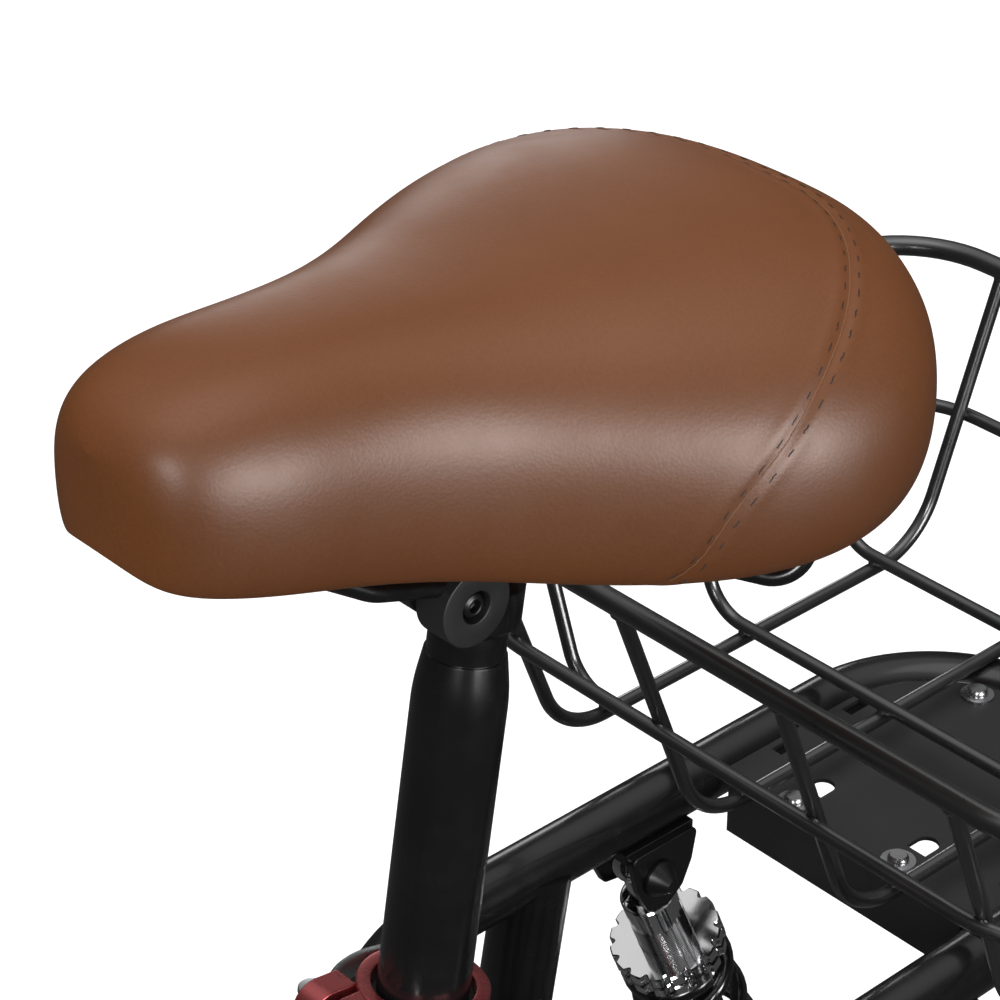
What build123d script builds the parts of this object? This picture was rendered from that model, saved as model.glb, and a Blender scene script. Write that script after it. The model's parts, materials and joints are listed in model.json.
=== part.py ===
from build123d import *
import os
from math import acos, atan2, cos, hypot, pi, radians, sin, tan

os.makedirs("parts", exist_ok=True)

# Adult tricycle with one steered front wheel and two sprung rear wheels.
# Millimetres. +Z is up, the rider faces -Y and the rider's left is +X.
# The origin is on the ground, at the centre of the bounding box.

# Driving dimensions
WHEELBASE = 1060.0
FRONT_RADIUS = 202.0  # 16 inch wheel, 54-305 tyre
REAR_RADIUS = 153.0  # 12 1/2 inch wheel, 62-203 tyre
HALF_TRACK = 250.0
POST_TOP_Z = 810.0  # shoulder of the seat post, the datum of the whole seat and basket
SEAT_LEAN = 9.0  # degrees from upright
AXLE_BEHIND_POST = 300.0
HEAD_ANGLE = 72.0  # degrees from the ground
RAKE = 35.0
POST_RADIUS = 16.95
RAIL_RADIUS = 12.7
RAIL_X = 80.0
STRUT_RADIUS = 15.9
BASKET_RIM_RADIUS = 4.75
BASKET_WIRE_RADIUS = 3.175
CRANK_LENGTH = 152.0
CHAIN_PITCH = 12.7
CHAINRING_TEETH = 40
SPROCKET_TEETH = 16
CHAIN_LINE_X = -52.0
SHOCK_LENGTH = 320.0  # between the two eyes
SHOCK_LEAN = 22.5
RUNNING_GAP = 0.05

# Places that follow from them
REAR_REACH = AXLE_BEHIND_POST + REAR_RADIUS
FRONT_REACH = WHEELBASE - AXLE_BEHIND_POST + FRONT_RADIUS
POST_Y = (FRONT_REACH - REAR_REACH) / 2
POST_Z = POST_TOP_Z
REAR_AXLE = Vector(0, POST_Y + AXLE_BEHIND_POST, REAR_RADIUS)
FRONT_AXLE = Vector(0, REAR_AXLE.Y - WHEELBASE, FRONT_RADIUS)
POST_TOP = Vector(0, POST_Y, POST_Z)
POST_UP = Vector(0, sin(radians(SEAT_LEAN)), cos(radians(SEAT_LEAN)))
CRANK_Z = 262.0
CRANK = Vector(0, POST_Y - (POST_Z - CRANK_Z) * tan(radians(SEAT_LEAN)), CRANK_Z)
STEER_UP = Vector(0, cos(radians(HEAD_ANGLE)), sin(radians(HEAD_ANGLE)))
STEER_FRONT = Vector(0, -STEER_UP.Z, STEER_UP.Y)
STEER_FOOT = FRONT_AXLE - STEER_FRONT * RAKE
SHOCK_DOWN = Vector(0, sin(radians(SHOCK_LEAN)), -cos(radians(SHOCK_LEAN)))
SIDES = {"left": 1, "right": -1}
X_AXIS = Vector(1, 0, 0)


def seat(x, y, z):
    """A point given from the seat post's shoulder."""
    return Vector(x, POST_Y + y, POST_Z + z)


def steer(x, along, ahead=0.0):
    """A point given along the steering axis, up from the front axle's level."""
    return STEER_FOOT + STEER_UP * along + STEER_FRONT * ahead + X_AXIS * x


def post(along, x=0.0, ahead=0.0):
    """A point given down the seat tube's axis from the post's shoulder."""
    return POST_TOP - POST_UP * along + Vector(x, -ahead * POST_UP.Z, ahead * POST_UP.Y)


def rod(start, end, radius, bore=0.0):
    """A straight bar or tube between two points."""
    start, end = Vector(start), Vector(end)
    plane = Plane(origin=start, z_dir=end - start)
    body = extrude(plane * Circle(radius), amount=(end - start).length)
    if bore:
        body -= extrude(plane * Circle(bore), amount=(end - start).length)
    return body


def cross_bar(centre, low, high, radius, bore=0.0):
    """A bar or tube that lies across the tricycle, from x=low to x=high."""
    start = Vector(low, centre.Y, centre.Z)
    return rod(start, Vector(high, centre.Y, centre.Z), radius, bore)


def bent(points, bends, radius, bore=0.0):
    """A round bar or tube along straight runs joined by arcs."""
    path = FilletPolyline(*points, radius=bends)
    section = Circle(radius)
    if bore:
        section -= Circle(bore)
    return sweep(Plane(origin=path @ 0, z_dir=path % 0) * section, path=path)


def turned(outline, centre):
    """A ring about a cross axis, from (x, radius) points."""
    face = make_face(Polyline(*outline, close=True))
    return Pos(*centre) * revolve(face, axis=Axis.X, revolution_arc=360)


def side_plate(points, low, high):
    """A flat plate between x=low and x=high, from (y, z) points."""
    face = make_face(Polyline(*[(0, y, z) for y, z in points], close=True))
    plate = extrude(face, amount=high - low, dir=(1, 0, 0))
    return Pos(low, 0, 0) * plate


def fused(pieces):
    """One solid from several that meet."""
    pieces = list(pieces)
    body = pieces[0]
    for piece in pieces[1:]:
        body += piece
    return body


def save(name, shape):
    solids = shape if isinstance(shape, list) else [shape]
    flat = [s for one in solids for s in one.solids()]
    node = flat[0] if len(flat) == 1 else Compound(children=flat)
    export_step(node, f"parts/{name}.step")


# ---------------------------------------------------------------- front frame
HEAD_RADIUS = 19.0
HEAD_BORE = 17.0
HEAD_LOW = 270.0
HEAD_HIGH = 408.0
MAIN_RADIUS = 25.4
SEAT_TUBE_RADIUS = 19.0
SEAT_TUBE_TOP = 128.0
SHELL_RADIUS = 21.0
SHELL_BORE = 17.5
SHELL_HALF = 36.5


def head_tube():
    return rod(steer(0, HEAD_LOW), steer(0, HEAD_HIGH), HEAD_RADIUS, HEAD_BORE)


def main_tube_path():
    low_head = steer(0, (HEAD_LOW + HEAD_HIGH) / 2 - 8)
    knee = Vector(0, -190, 300)
    return [low_head, knee, Vector(0, CRANK.Y - 4, CRANK.Z + 4)]


def main_tube():
    tube = bent(main_tube_path(), 190, MAIN_RADIUS)
    hollow = bent(main_tube_path(), 190, MAIN_RADIUS - 2.2)
    tube -= rod(steer(0, HEAD_LOW - 60), steer(0, HEAD_HIGH + 60), HEAD_RADIUS)
    tube -= cross_bar(CRANK, -60, 60, SHELL_RADIUS)
    tube -= seat_tube_outer()
    tube -= hollow
    return max(tube.solids(), key=lambda solid: solid.volume)


def seat_tube_outer():
    return rod(post(SEAT_TUBE_TOP), CRANK, SEAT_TUBE_RADIUS)


def seat_tube():
    tube = seat_tube_outer() - rod(post(SEAT_TUBE_TOP - 2), CRANK, POST_RADIUS + RUNNING_GAP)
    slot = Pos(*post(SEAT_TUBE_TOP + 18, 0, SEAT_TUBE_RADIUS)) * Rot(-SEAT_LEAN, 0, 0)
    tube -= slot * Box(3, 12, 40)
    tube -= cross_bar(CRANK, -60, 60, SHELL_RADIUS)
    return tube + cross_bar(CRANK, -SHELL_HALF, SHELL_HALF, SHELL_RADIUS, SHELL_BORE)


CUP_FLANGE = 3.0
SPINDLE_RADIUS = 8.5


def crank_cups():
    cups = []
    for side in SIDES.values():
        inner, face = side * (SHELL_HALF - 12), side * SHELL_HALF
        cup = cross_bar(CRANK, *sorted((inner, face)), SHELL_BORE, SPINDLE_RADIUS + RUNNING_GAP)
        rim = sorted((face, face + side * CUP_FLANGE))
        cups.append(cup + cross_bar(CRANK, *rim, SHELL_RADIUS, SPINDLE_RADIUS + RUNNING_GAP))
    return cups


STEERER_RADIUS = 14.3
QUILL_RADIUS = 12.7
CUP_STACK = 12.0


def headset_cups():
    cups = []
    for face, outward in ((HEAD_LOW, -1), (HEAD_HIGH, 1)):
        bore = STEERER_RADIUS + RUNNING_GAP
        flange = rod(steer(0, face), steer(0, face + outward * CUP_STACK), 23, bore)
        sleeve = rod(steer(0, face), steer(0, face - outward * 14), HEAD_BORE, bore)
        cups.append(flange + sleeve)
    return cups


# ------------------------------------------------------------- rear platform
RAIL_Z = -183.5
RAIL_FRONT_Y = 18.0
RAIL_REAR_Y = 355.0
STRUT_Y = 109.0
STRUT_FOOT_Z = -362.0


def rail_hoop():
    """Two rails joined behind, with front legs that curve in to the seat tube."""
    lean = tan(radians(SEAT_LEAN))
    half = [
        seat(RAIL_X, RAIL_FRONT_Y, RAIL_Z),
        seat(RAIL_X, RAIL_FRONT_Y - 75 * lean, RAIL_Z - 75),
        seat(8, -335 * lean, -335),
    ]
    rear = [seat(RAIL_X, RAIL_REAR_Y, RAIL_Z)]
    other = [Vector(-p.X, p.Y, p.Z) for p in half]
    points = half[::-1] + rear + [Vector(-p.X, p.Y, p.Z) for p in rear] + other
    hoop = bent(points, [45, 45, 72, 72, 45, 45], RAIL_RADIUS)
    return hoop - seat_tube_outer()


def strut_line(side, z):
    return seat(side * RAIL_X, STRUT_Y - (RAIL_Z - z) * tan(radians(SEAT_LEAN + 1)), z)


def rail_struts():
    """Two struts, a cross tube at their feet and a brace to the seat tube."""
    struts = [rod(strut_line(s, RAIL_Z), strut_line(s, STRUT_FOOT_Z), STRUT_RADIUS) for s in (1, -1)]
    foot = strut_line(1, STRUT_FOOT_Z)
    across = cross_bar(foot, -RAIL_X - STRUT_RADIUS, RAIL_X + STRUT_RADIUS, STRUT_RADIUS + 0.2)
    brace = rod(Vector(0, foot.Y, foot.Z), post(500), 17)
    body = fused([across, brace] + struts)
    for side in SIDES.values():
        rail = seat(side * RAIL_X, 0, RAIL_Z)
        body -= rod(rail, rail + Vector(0, 330, 0), RAIL_RADIUS)
    return max((body - seat_tube_outer()).solids(), key=lambda solid: solid.volume)


SHOCK_EYE = seat(0, 166, -210)
EYE_HALF = 10.0
PLATE_GAP = 11.5
PLATE_THICK = 4.0
WEB_THICK = 4.8
PIVOT_RADIUS = 5.0


def shock_plates():
    """Two channels under the rails, each with its pivot bolt."""
    group = []
    outline = [(138, -193), (198, -193), (194, -203), (183, -228), (154, -228), (141, -208)]
    points = [(POST_Y + y, POST_Z + z) for y, z in outline]
    for side in SIDES.values():
        web = Pos(*seat(side * RAIL_X, 168, -193 - WEB_THICK / 2))
        channel = web * Box(2 * (PLATE_GAP + PLATE_THICK), 54, WEB_THICK)
        for face in (-1, 1):
            near = side * RAIL_X + face * PLATE_GAP
            channel += side_plate(points, *sorted((near, near + face * PLATE_THICK)))
        channel -= cross_bar(SHOCK_EYE, -120, 120, PIVOT_RADIUS)
        rail = seat(side * RAIL_X, 0, RAIL_Z)
        channel -= rod(rail, rail + Vector(0, 330, 0), RAIL_RADIUS)
        group.append(channel)
        group.append(pivot_bolt(SHOCK_EYE, side * RAIL_X))
    return group


def pivot_bolt(eye, x):
    """A bolt with a coned head on the inner side and a nut on the outer."""
    inward = -1 if x > 0 else 1
    outer = PLATE_GAP + PLATE_THICK
    bolt = cross_bar(eye, x - outer, x + outer, PIVOT_RADIUS)
    outline = [(0, 0), (0, 8.5), (2, 8.5), (9, 2.5), (9, 0)]
    head = turned([(inward * (outer + px), r) for px, r in outline], Vector(x, eye.Y, eye.Z))
    nut_face = x - inward * outer
    nut = extrude(
        Plane(origin=(nut_face, eye.Y, eye.Z), z_dir=(-inward, 0, 0)) * RegularPolygon(8.5, 6),
        amount=7,
    )
    return bolt + head + nut


RACK_TOP = -177.0
RACK_THICK = 2.0
RACK_FRONT = 206.0
RACK_HALF = 74.0
SCREW_PLACES = [(-33, 213), (23, 215), (-33, 330), (23, 332)]
SLOT_BEHIND = 11.0  # from a screw to the flat end of its slot
SLOT_WIDTH = 10.0
SLOT_STRAIGHT = 7.0


def rack_plate():
    """The folded plate between the rails, with an arched slot behind each screw."""
    rear = RAIL_REAR_Y - 2
    deck = Pos(*seat(0, (RACK_FRONT + rear) / 2, RACK_TOP - RACK_THICK / 2))
    plate = deck * Box(2 * RACK_HALF, rear - RACK_FRONT, RACK_THICK)
    skirt = Pos(*seat(0, RACK_FRONT + RACK_THICK / 2, RACK_TOP - 14)) * Box(2 * 64, RACK_THICK, 28)
    block = Pos(*seat(58, RACK_FRONT + 20, RACK_TOP - 9)) * Box(15, 30, 15)
    plate = plate + skirt + block
    for x, y in SCREW_PLACES:
        arch = y + SLOT_BEHIND + SLOT_STRAIGHT
        straight = Pos(*seat(x, arch - SLOT_STRAIGHT / 2, RACK_TOP))
        plate -= straight * Box(SLOT_WIDTH, SLOT_STRAIGHT, 4 * RACK_THICK)
        plate -= Pos(*seat(x, arch, RACK_TOP)) * Cylinder(SLOT_WIDTH / 2, 4 * RACK_THICK)
        plate -= Pos(*seat(x, y, RACK_TOP)) * Cylinder(2.5, 4 * RACK_THICK)
    for y in (240, 262, 284):
        for side in (1, -1):
            plate -= Pos(*seat(side * 63, y, RACK_TOP)) * Box(6, 12, 4 * RACK_THICK)
    plate -= rail_hoop()
    return max(plate.solids(), key=lambda solid: solid.volume)


def rack_screws():
    """Pan-head screws on washers, each with a nut under the plate."""
    group = []
    for x, y in SCREW_PLACES:
        top = seat(x, y, RACK_TOP)
        up = Vector(0, 0, 1)
        screw = rod(top - up * 9, top + up * 1.2, 2.5)
        screw += rod(top, top + up * 1.2, 7.3)
        sits = (Align.CENTER, Align.CENTER, Align.MIN)
        head = Pos(*(top + up * 1.2)) * Sphere(4.6, arc_size1=0, arc_size2=90, align=sits)
        screw += head - Pos(*(top + up * 5.2)) * Box(12, 12, 2)
        nut = Plane(origin=top - up * RACK_THICK, z_dir=(0, 0, -1)) * RegularPolygon(4.6, 6)
        group.append(screw + extrude(nut, amount=4))
    return group


# -------------------------------------------------------------------- basket
RIM_Z = -40.0
RIM_HALF = 186.5
RIM_FRONT = 115.6
RIM_REAR = 439.0
RIM_CORNER = 50.0
HOOP_Z = -107.0
FLOOR_Z = RAIL_Z + RAIL_RADIUS + BASKET_WIRE_RADIUS
WELD = 0.9
LATERAL_Z = FLOOR_Z + 2 * BASKET_WIRE_RADIUS - WELD
FLOOR_FRONT = 165.0
FLOOR_REAR = 392.4
FLOOR_HALF = 141.5
LONG_BEND = 37.0
LATERAL_BEND = 22.0
LONG_XS = (-124.0, -41.5, 41.5, 124.0)
LATERAL_YS = (191.5, 277.5, 363.5)


def wall(low, high, z, floor_z):
    """How far a leaning wall stands at height z, between the floor and the rim."""
    return low + (high - low) * (z - floor_z) / (RIM_Z - floor_z)


def arc_reach(bend, rise, run):
    """How far from a corner its arc begins."""
    return bend * tan(atan2(rise, run) / 2)


def quarter(half_x, front, rear, corner, z):
    """The four sides of a rounded loop, each with half of both its corner arcs."""
    cut = corner * (1 - cos(radians(45)))
    sides = {}
    for name, y, inward in (("front", front, 1), ("rear", rear, -1)):
        ends = [seat(s * (half_x - cut), y + inward * cut, z) for s in (-1, 1)]
        starts = [seat(s * (half_x - corner), y, z) for s in (-1, 1)]
        sides[name] = (ends[0], starts[0], starts[1], ends[1], (0, inward))
    for name, side in (("left", 1), ("right", -1)):
        ends = [seat(side * (half_x - cut), y, z) for y in (front + cut, rear - cut)]
        starts = [seat(side * half_x, y, z) for y in (front + corner, rear - corner)]
        sides[name] = (ends[0], starts[0], starts[1], ends[1], (-side, 0))
    return sides


def loop_side(side, radius):
    """One side of a loop: half an arc, a straight run and half an arc."""
    first, start, end, last, _ = side
    run = (end - start).normalized()
    path = TangentArc(start, first, tangent=-run) + Line(start, end) + TangentArc(end, last, tangent=run)
    path = Wire(path.edges())
    return sweep(Plane(origin=path @ 0, z_dir=path % 0) * Circle(radius), path=path)


def basket_loops():
    hoop_front = wall(FLOOR_FRONT, RIM_FRONT, HOOP_Z, FLOOR_Z) - 5.2
    hoop_rear = wall(FLOOR_REAR, RIM_REAR, HOOP_Z, FLOOR_Z) + 5.2
    hoop_half = wall(FLOOR_HALF, RIM_HALF, HOOP_Z, LATERAL_Z) + 5.2
    rim = quarter(RIM_HALF, RIM_FRONT, RIM_REAR, RIM_CORNER, RIM_Z)
    hoop = quarter(hoop_half, hoop_front, hoop_rear, RIM_CORNER, HOOP_Z)
    return rim, hoop


def basket_wall(name):
    rim, hoop = basket_loops()
    pieces = [loop_side(rim[name], BASKET_RIM_RADIUS), loop_side(hoop[name], BASKET_WIRE_RADIUS)]
    if name in ("front", "rear"):
        top, foot = (RIM_FRONT, FLOOR_FRONT) if name == "front" else (RIM_REAR, FLOOR_REAR)
        inward = 1 if name == "front" else -1
        reach = arc_reach(LONG_BEND, RIM_Z - FLOOR_Z, abs(foot - top))
        for x in LONG_XS:
            points = [seat(x, top, RIM_Z), seat(x, foot, FLOOR_Z)]
            points.append(seat(x, foot + inward * reach, FLOOR_Z))
            pieces.append(wire_bend(points, LONG_BEND))
    else:
        side = SIDES[name]
        reach = arc_reach(LATERAL_BEND, RIM_Z - LATERAL_Z, RIM_HALF - FLOOR_HALF)
        for y in LATERAL_YS:
            points = [seat(side * RIM_HALF, y, RIM_Z), seat(side * FLOOR_HALF, y, LATERAL_Z)]
            points.append(seat(side * (FLOOR_HALF - reach), y, LATERAL_Z))
            pieces.append(wire_bend(points, LATERAL_BEND))
    return fused(pieces)


def wire_bend(points, bend):
    """A wire down a wall, ending where its bend meets the floor."""
    start, corner, end = points
    down = (corner - start).normalized()
    arc_start = corner - down * (end - corner).length
    path = Wire((Line(start, arc_start) + TangentArc(arc_start, end, tangent=down)).edges())
    return sweep(Plane(origin=path @ 0, z_dir=path % 0) * Circle(BASKET_WIRE_RADIUS), path=path)


def basket_floor():
    front_reach = arc_reach(LONG_BEND, RIM_Z - FLOOR_Z, FLOOR_FRONT - RIM_FRONT)
    rear_reach = arc_reach(LONG_BEND, RIM_Z - FLOOR_Z, RIM_REAR - FLOOR_REAR)
    side_reach = arc_reach(LATERAL_BEND, RIM_Z - LATERAL_Z, RIM_HALF - FLOOR_HALF)
    pieces = []
    for x in LONG_XS:
        start = seat(x, FLOOR_FRONT + front_reach, FLOOR_Z)
        pieces.append(rod(start, seat(x, FLOOR_REAR - rear_reach, FLOOR_Z), BASKET_WIRE_RADIUS))
    end_x = FLOOR_HALF - side_reach
    for y in LATERAL_YS:
        wire = rod(seat(-end_x, y, LATERAL_Z), seat(end_x, y, LATERAL_Z), BASKET_WIRE_RADIUS)
        pieces.append(wire)
    return fused(pieces)


# ---------------------------------------------------------------- seat clamp
CLAMP_TOP = 124.0
CLAMP_LOW = 144.0
CLAMP_RADIUS = 24.5
EAR_AHEAD = 31.0
EAR_HALF = 13.0
EAR_RADIUS = 9.5
SKEWER_LEVEL = (CLAMP_TOP + CLAMP_LOW) / 2
SKEWER_RADIUS = 3.0
CAM_X = -20.0


def skewer(low, high, radius):
    """A bar on the line of the clamp's skewer, from x=low to x=high."""
    return rod(post(SKEWER_LEVEL, low, EAR_AHEAD), post(SKEWER_LEVEL, high, EAR_AHEAD), radius)


def seat_clamp():
    """The split ring round the seat tube's top, with two ears in front."""
    ring = rod(post(CLAMP_LOW), post(CLAMP_TOP), CLAMP_RADIUS, SEAT_TUBE_RADIUS)
    ears = skewer(-EAR_HALF, EAR_HALF, EAR_RADIUS)
    web = Plane(origin=post(CLAMP_LOW, 0, 0), x_dir=(1, 0, 0), z_dir=POST_UP)
    neck = extrude(web * Pos(0, -25) * Rectangle(2 * EAR_HALF, 14), amount=CLAMP_LOW - CLAMP_TOP)
    body = ring + ears + neck
    gap = extrude(web * Pos(0, -33) * Rectangle(4, 30), amount=CLAMP_LOW - CLAMP_TOP + 4)
    body -= gap
    body -= extrude(web * Pos(0, -33) * Rectangle(4, 30), amount=-8)
    body -= rod(post(CLAMP_LOW + 5), post(CLAMP_TOP - 5), SEAT_TUBE_RADIUS)
    return body - skewer(-40, 40, SKEWER_RADIUS)


def clamp_bolt():
    """The skewer through the ears, with a nut on its left end."""
    return skewer(-19, 20, SKEWER_RADIUS) + skewer(EAR_HALF, EAR_HALF + 8, 7)


def clamp_lever():
    """The curved lever that closes round the clamp, on its forked cam."""
    plane = Plane(origin=post(SKEWER_LEVEL + 6), x_dir=(1, 0, 0), z_dir=POST_UP)
    cam_at = (CAM_X - 3, -EAR_AHEAD)
    cam = extrude(plane * Pos(*cam_at) * Circle(6.5), amount=12)
    arc = Circle(36) - Circle(30.5)
    window = Pos(-56, -6) * Rectangle(80, 58)
    blade = extrude(plane * (arc & window), amount=12)
    gap = Plane(origin=post(SKEWER_LEVEL + 3.4), x_dir=(1, 0, 0), z_dir=POST_UP) * Pos(*cam_at)
    slot = extrude(gap * Circle(8.2), amount=6.8)
    barrel = extrude(gap * Circle(2.4), amount=6.8)
    return cam + blade - slot + barrel


# -------------------------------------------------------------------- saddle
NECK_RADIUS = 14.1
HEAD_BOLT = (0.0, -16.0, 49.0)  # the saddle clamp's bolt, from the post's shoulder
HEAD_BOLT_RADIUS = 4.0
DRUM_HALF = 12.0
DRUM_RADIUS = 14.0
CHEEK_FACE = 26.0
CHEEK_RADIUS = 15.5
SADDLE_RAIL_RADIUS = 3.5
SADDLE_RAIL_X = 19.0
SADDLE_RAIL_Z = 57.0
# y, half width, underside z, top z of the saddle's pad
SADDLE_SECTIONS = [
    (-144, 10, 120, 144),
    (-139, 25, 110, 155),
    (-127, 36, 103, 162),
    (-100, 43, 97, 165),
    (-70, 46, 89, 163),
    (-38, 54, 80, 160),
    (-4, 73, 72, 158),
    (30, 94, 67, 158),
    (64, 108, 66, 158),
    (94, 108, 69, 156),
    (118, 98, 76, 152),
    (138, 78, 85, 147),
    (151, 52, 94, 140),
    (158, 26, 104, 132),
]


def seat_post():
    """The post with its swaged neck, from inside the seat tube to the clamp."""
    main = rod(post(330), post(0), POST_RADIUS)
    outline = [(0, 0), (POST_RADIUS, 0), (NECK_RADIUS, 12), (NECK_RADIUS, 40), (0, 40)]
    face = make_face(Polyline(*[(x, 0, z) for x, z in outline], close=True))
    neck = revolve(face, axis=Axis.Z, revolution_arc=360)
    place = Plane(origin=post(0), x_dir=(1, 0, 0), z_dir=POST_UP)
    body = main + place * neck
    body -= rod(post(331), post(12), POST_RADIUS - 2.4)
    return body - rod(post(20), post(-39), NECK_RADIUS - 2.2)


def saddle_clamp():
    """A collar on the neck and two round cheeks that grip the saddle's rails."""
    collar = rod(post(-19), post(-40), NECK_RADIUS + 5, NECK_RADIUS)
    bolt = seat(*HEAD_BOLT)
    drum = cross_bar(bolt, -DRUM_HALF, DRUM_HALF, DRUM_RADIUS)
    bridge = Pos(*seat(0, -5, 46)) * Box(2 * DRUM_HALF, 30, 22)
    body = collar + drum + bridge - rod(post(0), post(-41), NECK_RADIUS)
    for side in SIDES.values():
        cheek = cross_bar(bolt, *sorted((side * DRUM_HALF, side * CHEEK_FACE)), CHEEK_RADIUS)
        body += cheek
    body -= cross_bar(bolt, -60, 60, HEAD_BOLT_RADIUS)
    for side in SIDES.values():
        line = seat(side * SADDLE_RAIL_X, 0, SADDLE_RAIL_Z)
        body -= rod(line - Vector(0, 45, 0), line + Vector(0, 45, 0), SADDLE_RAIL_RADIUS)
    return body


def saddle_bolt():
    """The cross bolt with a button head on the left and a nut on the right."""
    bolt = seat(*HEAD_BOLT)
    body = cross_bar(bolt, -CHEEK_FACE - 4, CHEEK_FACE + 1, HEAD_BOLT_RADIUS)
    outline = [(0, 0), (0, 7), (1.2, 7), (3.4, 5.6), (4.6, 3.4), (4.6, 0)]
    body += turned([(CHEEK_FACE + x, r) for x, r in outline], bolt)
    nut = Plane(origin=(-CHEEK_FACE, bolt.Y, bolt.Z), z_dir=(-1, 0, 0)) * RegularPolygon(7.5, 6)
    return body + extrude(nut, amount=6)


def saddle_rails():
    """Two rods from a joined nose end to splayed tails under the wide rear."""
    group = []
    for side in SIDES.values():
        points = [
            seat(side * 6, -126, 97),
            seat(side * 9, -98, 85),
            seat(side * SADDLE_RAIL_X, -50, SADDLE_RAIL_Z),
            seat(side * SADDLE_RAIL_X, 30, SADDLE_RAIL_Z),
            seat(side * 77, 80, 42),
            seat(side * 81, 98, 64),
        ]
        group.append(bent(points, [30, 24, 28, 14], SADDLE_RAIL_RADIUS))
    return group


def saddle_section(y, half, low, high):
    height = high - low
    corner = 0.42 * height
    plane = Plane(origin=seat(0, y, (low + high) / 2), x_dir=(1, 0, 0), z_dir=(0, -1, 0))
    return plane * RectangleRounded(2 * half, height, min(corner, half * 0.8))


def saddle_cover():
    return loft([saddle_section(*row) for row in SADDLE_SECTIONS])


def saddle_base():
    """The stiff pan under the pad, 5 mm thick, with sockets for the rails."""
    pans = []
    for y, half, low, _ in SADDLE_SECTIONS[1:-1]:
        plane = Plane(origin=seat(0, y, low - 3.0), x_dir=(1, 0, 0), z_dir=(0, -1, 0))
        pans.append(plane * Rectangle(2 * half * 0.86, 5))
    pan = loft(pans, ruled=True)
    return pan - saddle_cover() - fused(saddle_rails())


# ------------------------------------------------------------ fork and wheel
FRONT_SEAT = 152.5
FRONT_RIM_HALF = 17.0
LEG_X = 62.0
LEG_RADIUS = 12.5
DROPOUT_X = 53.0
FRONT_AXLE_RADIUS = 5.0
ARM_PIVOT_X = 42.0
ARM_PIVOT_ALONG = 134.0
ARM_AHEAD = 16.0
ARM_THICK = 8.0
PAD_ALONG = 152.0
PAD_RADIUS = FRONT_SEAT + 0.5
PAD_GAP = 2.0


def fork():
    """Crown, two bent legs, dropouts, brake studs and the threaded steerer."""
    body = rod(steer(0, 238), steer(0, 257), 18)
    body += rod(steer(0, 250), steer(0, 432), STEERER_RADIUS)
    body += rod(steer(0, 421), steer(0, 432), 18)
    for side in SIDES.values():
        points = [
            steer(0, 244),
            steer(side * LEG_X, 238),
            steer(side * LEG_X, 95),
            steer(side * LEG_X, 12, RAKE - 3),
        ]
        body += bent(points, [28, 110], LEG_RADIUS)
        tip = side * DROPOUT_X
        corners = [(26, RAKE - 12), (24, RAKE + 6), (-11, RAKE + 10), (-11, RAKE - 9)]
        plate = [steer(0, along, ahead) for along, ahead in corners]
        body += side_plate([(p.Y, p.Z) for p in plate], tip - 3, tip + 3)
        stud = side * ARM_PIVOT_X
        body += rod(steer(side * (LEG_X - 6), ARM_PIVOT_ALONG), steer(stud, ARM_PIVOT_ALONG, 6), 6)
        stud_end = ARM_AHEAD + ARM_THICK + 2
        body += rod(steer(stud, ARM_PIVOT_ALONG, 4), steer(stud, ARM_PIVOT_ALONG, stud_end), 4)
    body -= cross_bar(FRONT_AXLE, -70, 70, FRONT_AXLE_RADIUS)
    return body - rod(steer(0, 262), steer(0, 440), QUILL_RADIUS + RUNNING_GAP)


def front_axle():
    """The wheel's axle, with a nut and washer outside each dropout."""
    body = cross_bar(FRONT_AXLE, -68, 68, FRONT_AXLE_RADIUS)
    for side in SIDES.values():
        face = side * (DROPOUT_X + 3)
        body += cross_bar(FRONT_AXLE, *sorted((face, face + side * 1.5)), 10)
        nut = Plane(origin=(face, FRONT_AXLE.Y, FRONT_AXLE.Z), z_dir=(side, 0, 0)) * RegularPolygon(8.8, 6)
        body += extrude(nut, amount=8)
    return body


FENDER_RADIUS = 212.0
FENDER_START = 20.0  # degrees up from the rear
FENDER_END = 142.0


def front_fender():
    """A curved mudguard over the front tyre, with a lug and two stays."""
    outline = [
        (-30, FENDER_RADIUS - 12), (-28.5, FENDER_RADIUS - 2), (-20, FENDER_RADIUS + 2.5),
        (20, FENDER_RADIUS + 2.5), (28.5, FENDER_RADIUS - 2), (30, FENDER_RADIUS - 12),
        (28.4, FENDER_RADIUS - 12), (26.8, FENDER_RADIUS - 3), (19.5, FENDER_RADIUS + 0.9),
        (-19.5, FENDER_RADIUS + 0.9), (-26.8, FENDER_RADIUS - 3), (-28.4, FENDER_RADIUS - 12),
    ]
    face = make_face(Polyline(*outline, close=True))
    shell = revolve(face, axis=Axis.X, revolution_arc=FENDER_END - FENDER_START)
    body = Pos(*FRONT_AXLE) * Rot(FENDER_START, 0, 0) * shell
    body += rod(steer(0, 205), steer(0, 239), 7)
    for side in SIDES.values():
        foot = steer(side * (DROPOUT_X + 8), 34, RAKE - 6)
        angle = radians(FENDER_START + 12)
        tip = FRONT_AXLE + Vector(side * 29, cos(angle) * 206, sin(angle) * 206)
        body += rod(foot, tip, 2)
        body += rod(foot, steer(side * (DROPOUT_X - 2), 34, RAKE - 6), 3)
    clear = cross_bar(FRONT_AXLE, -26.5, 26.5, FRONT_RADIUS + 1.5)
    return body - clear - fork()


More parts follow.
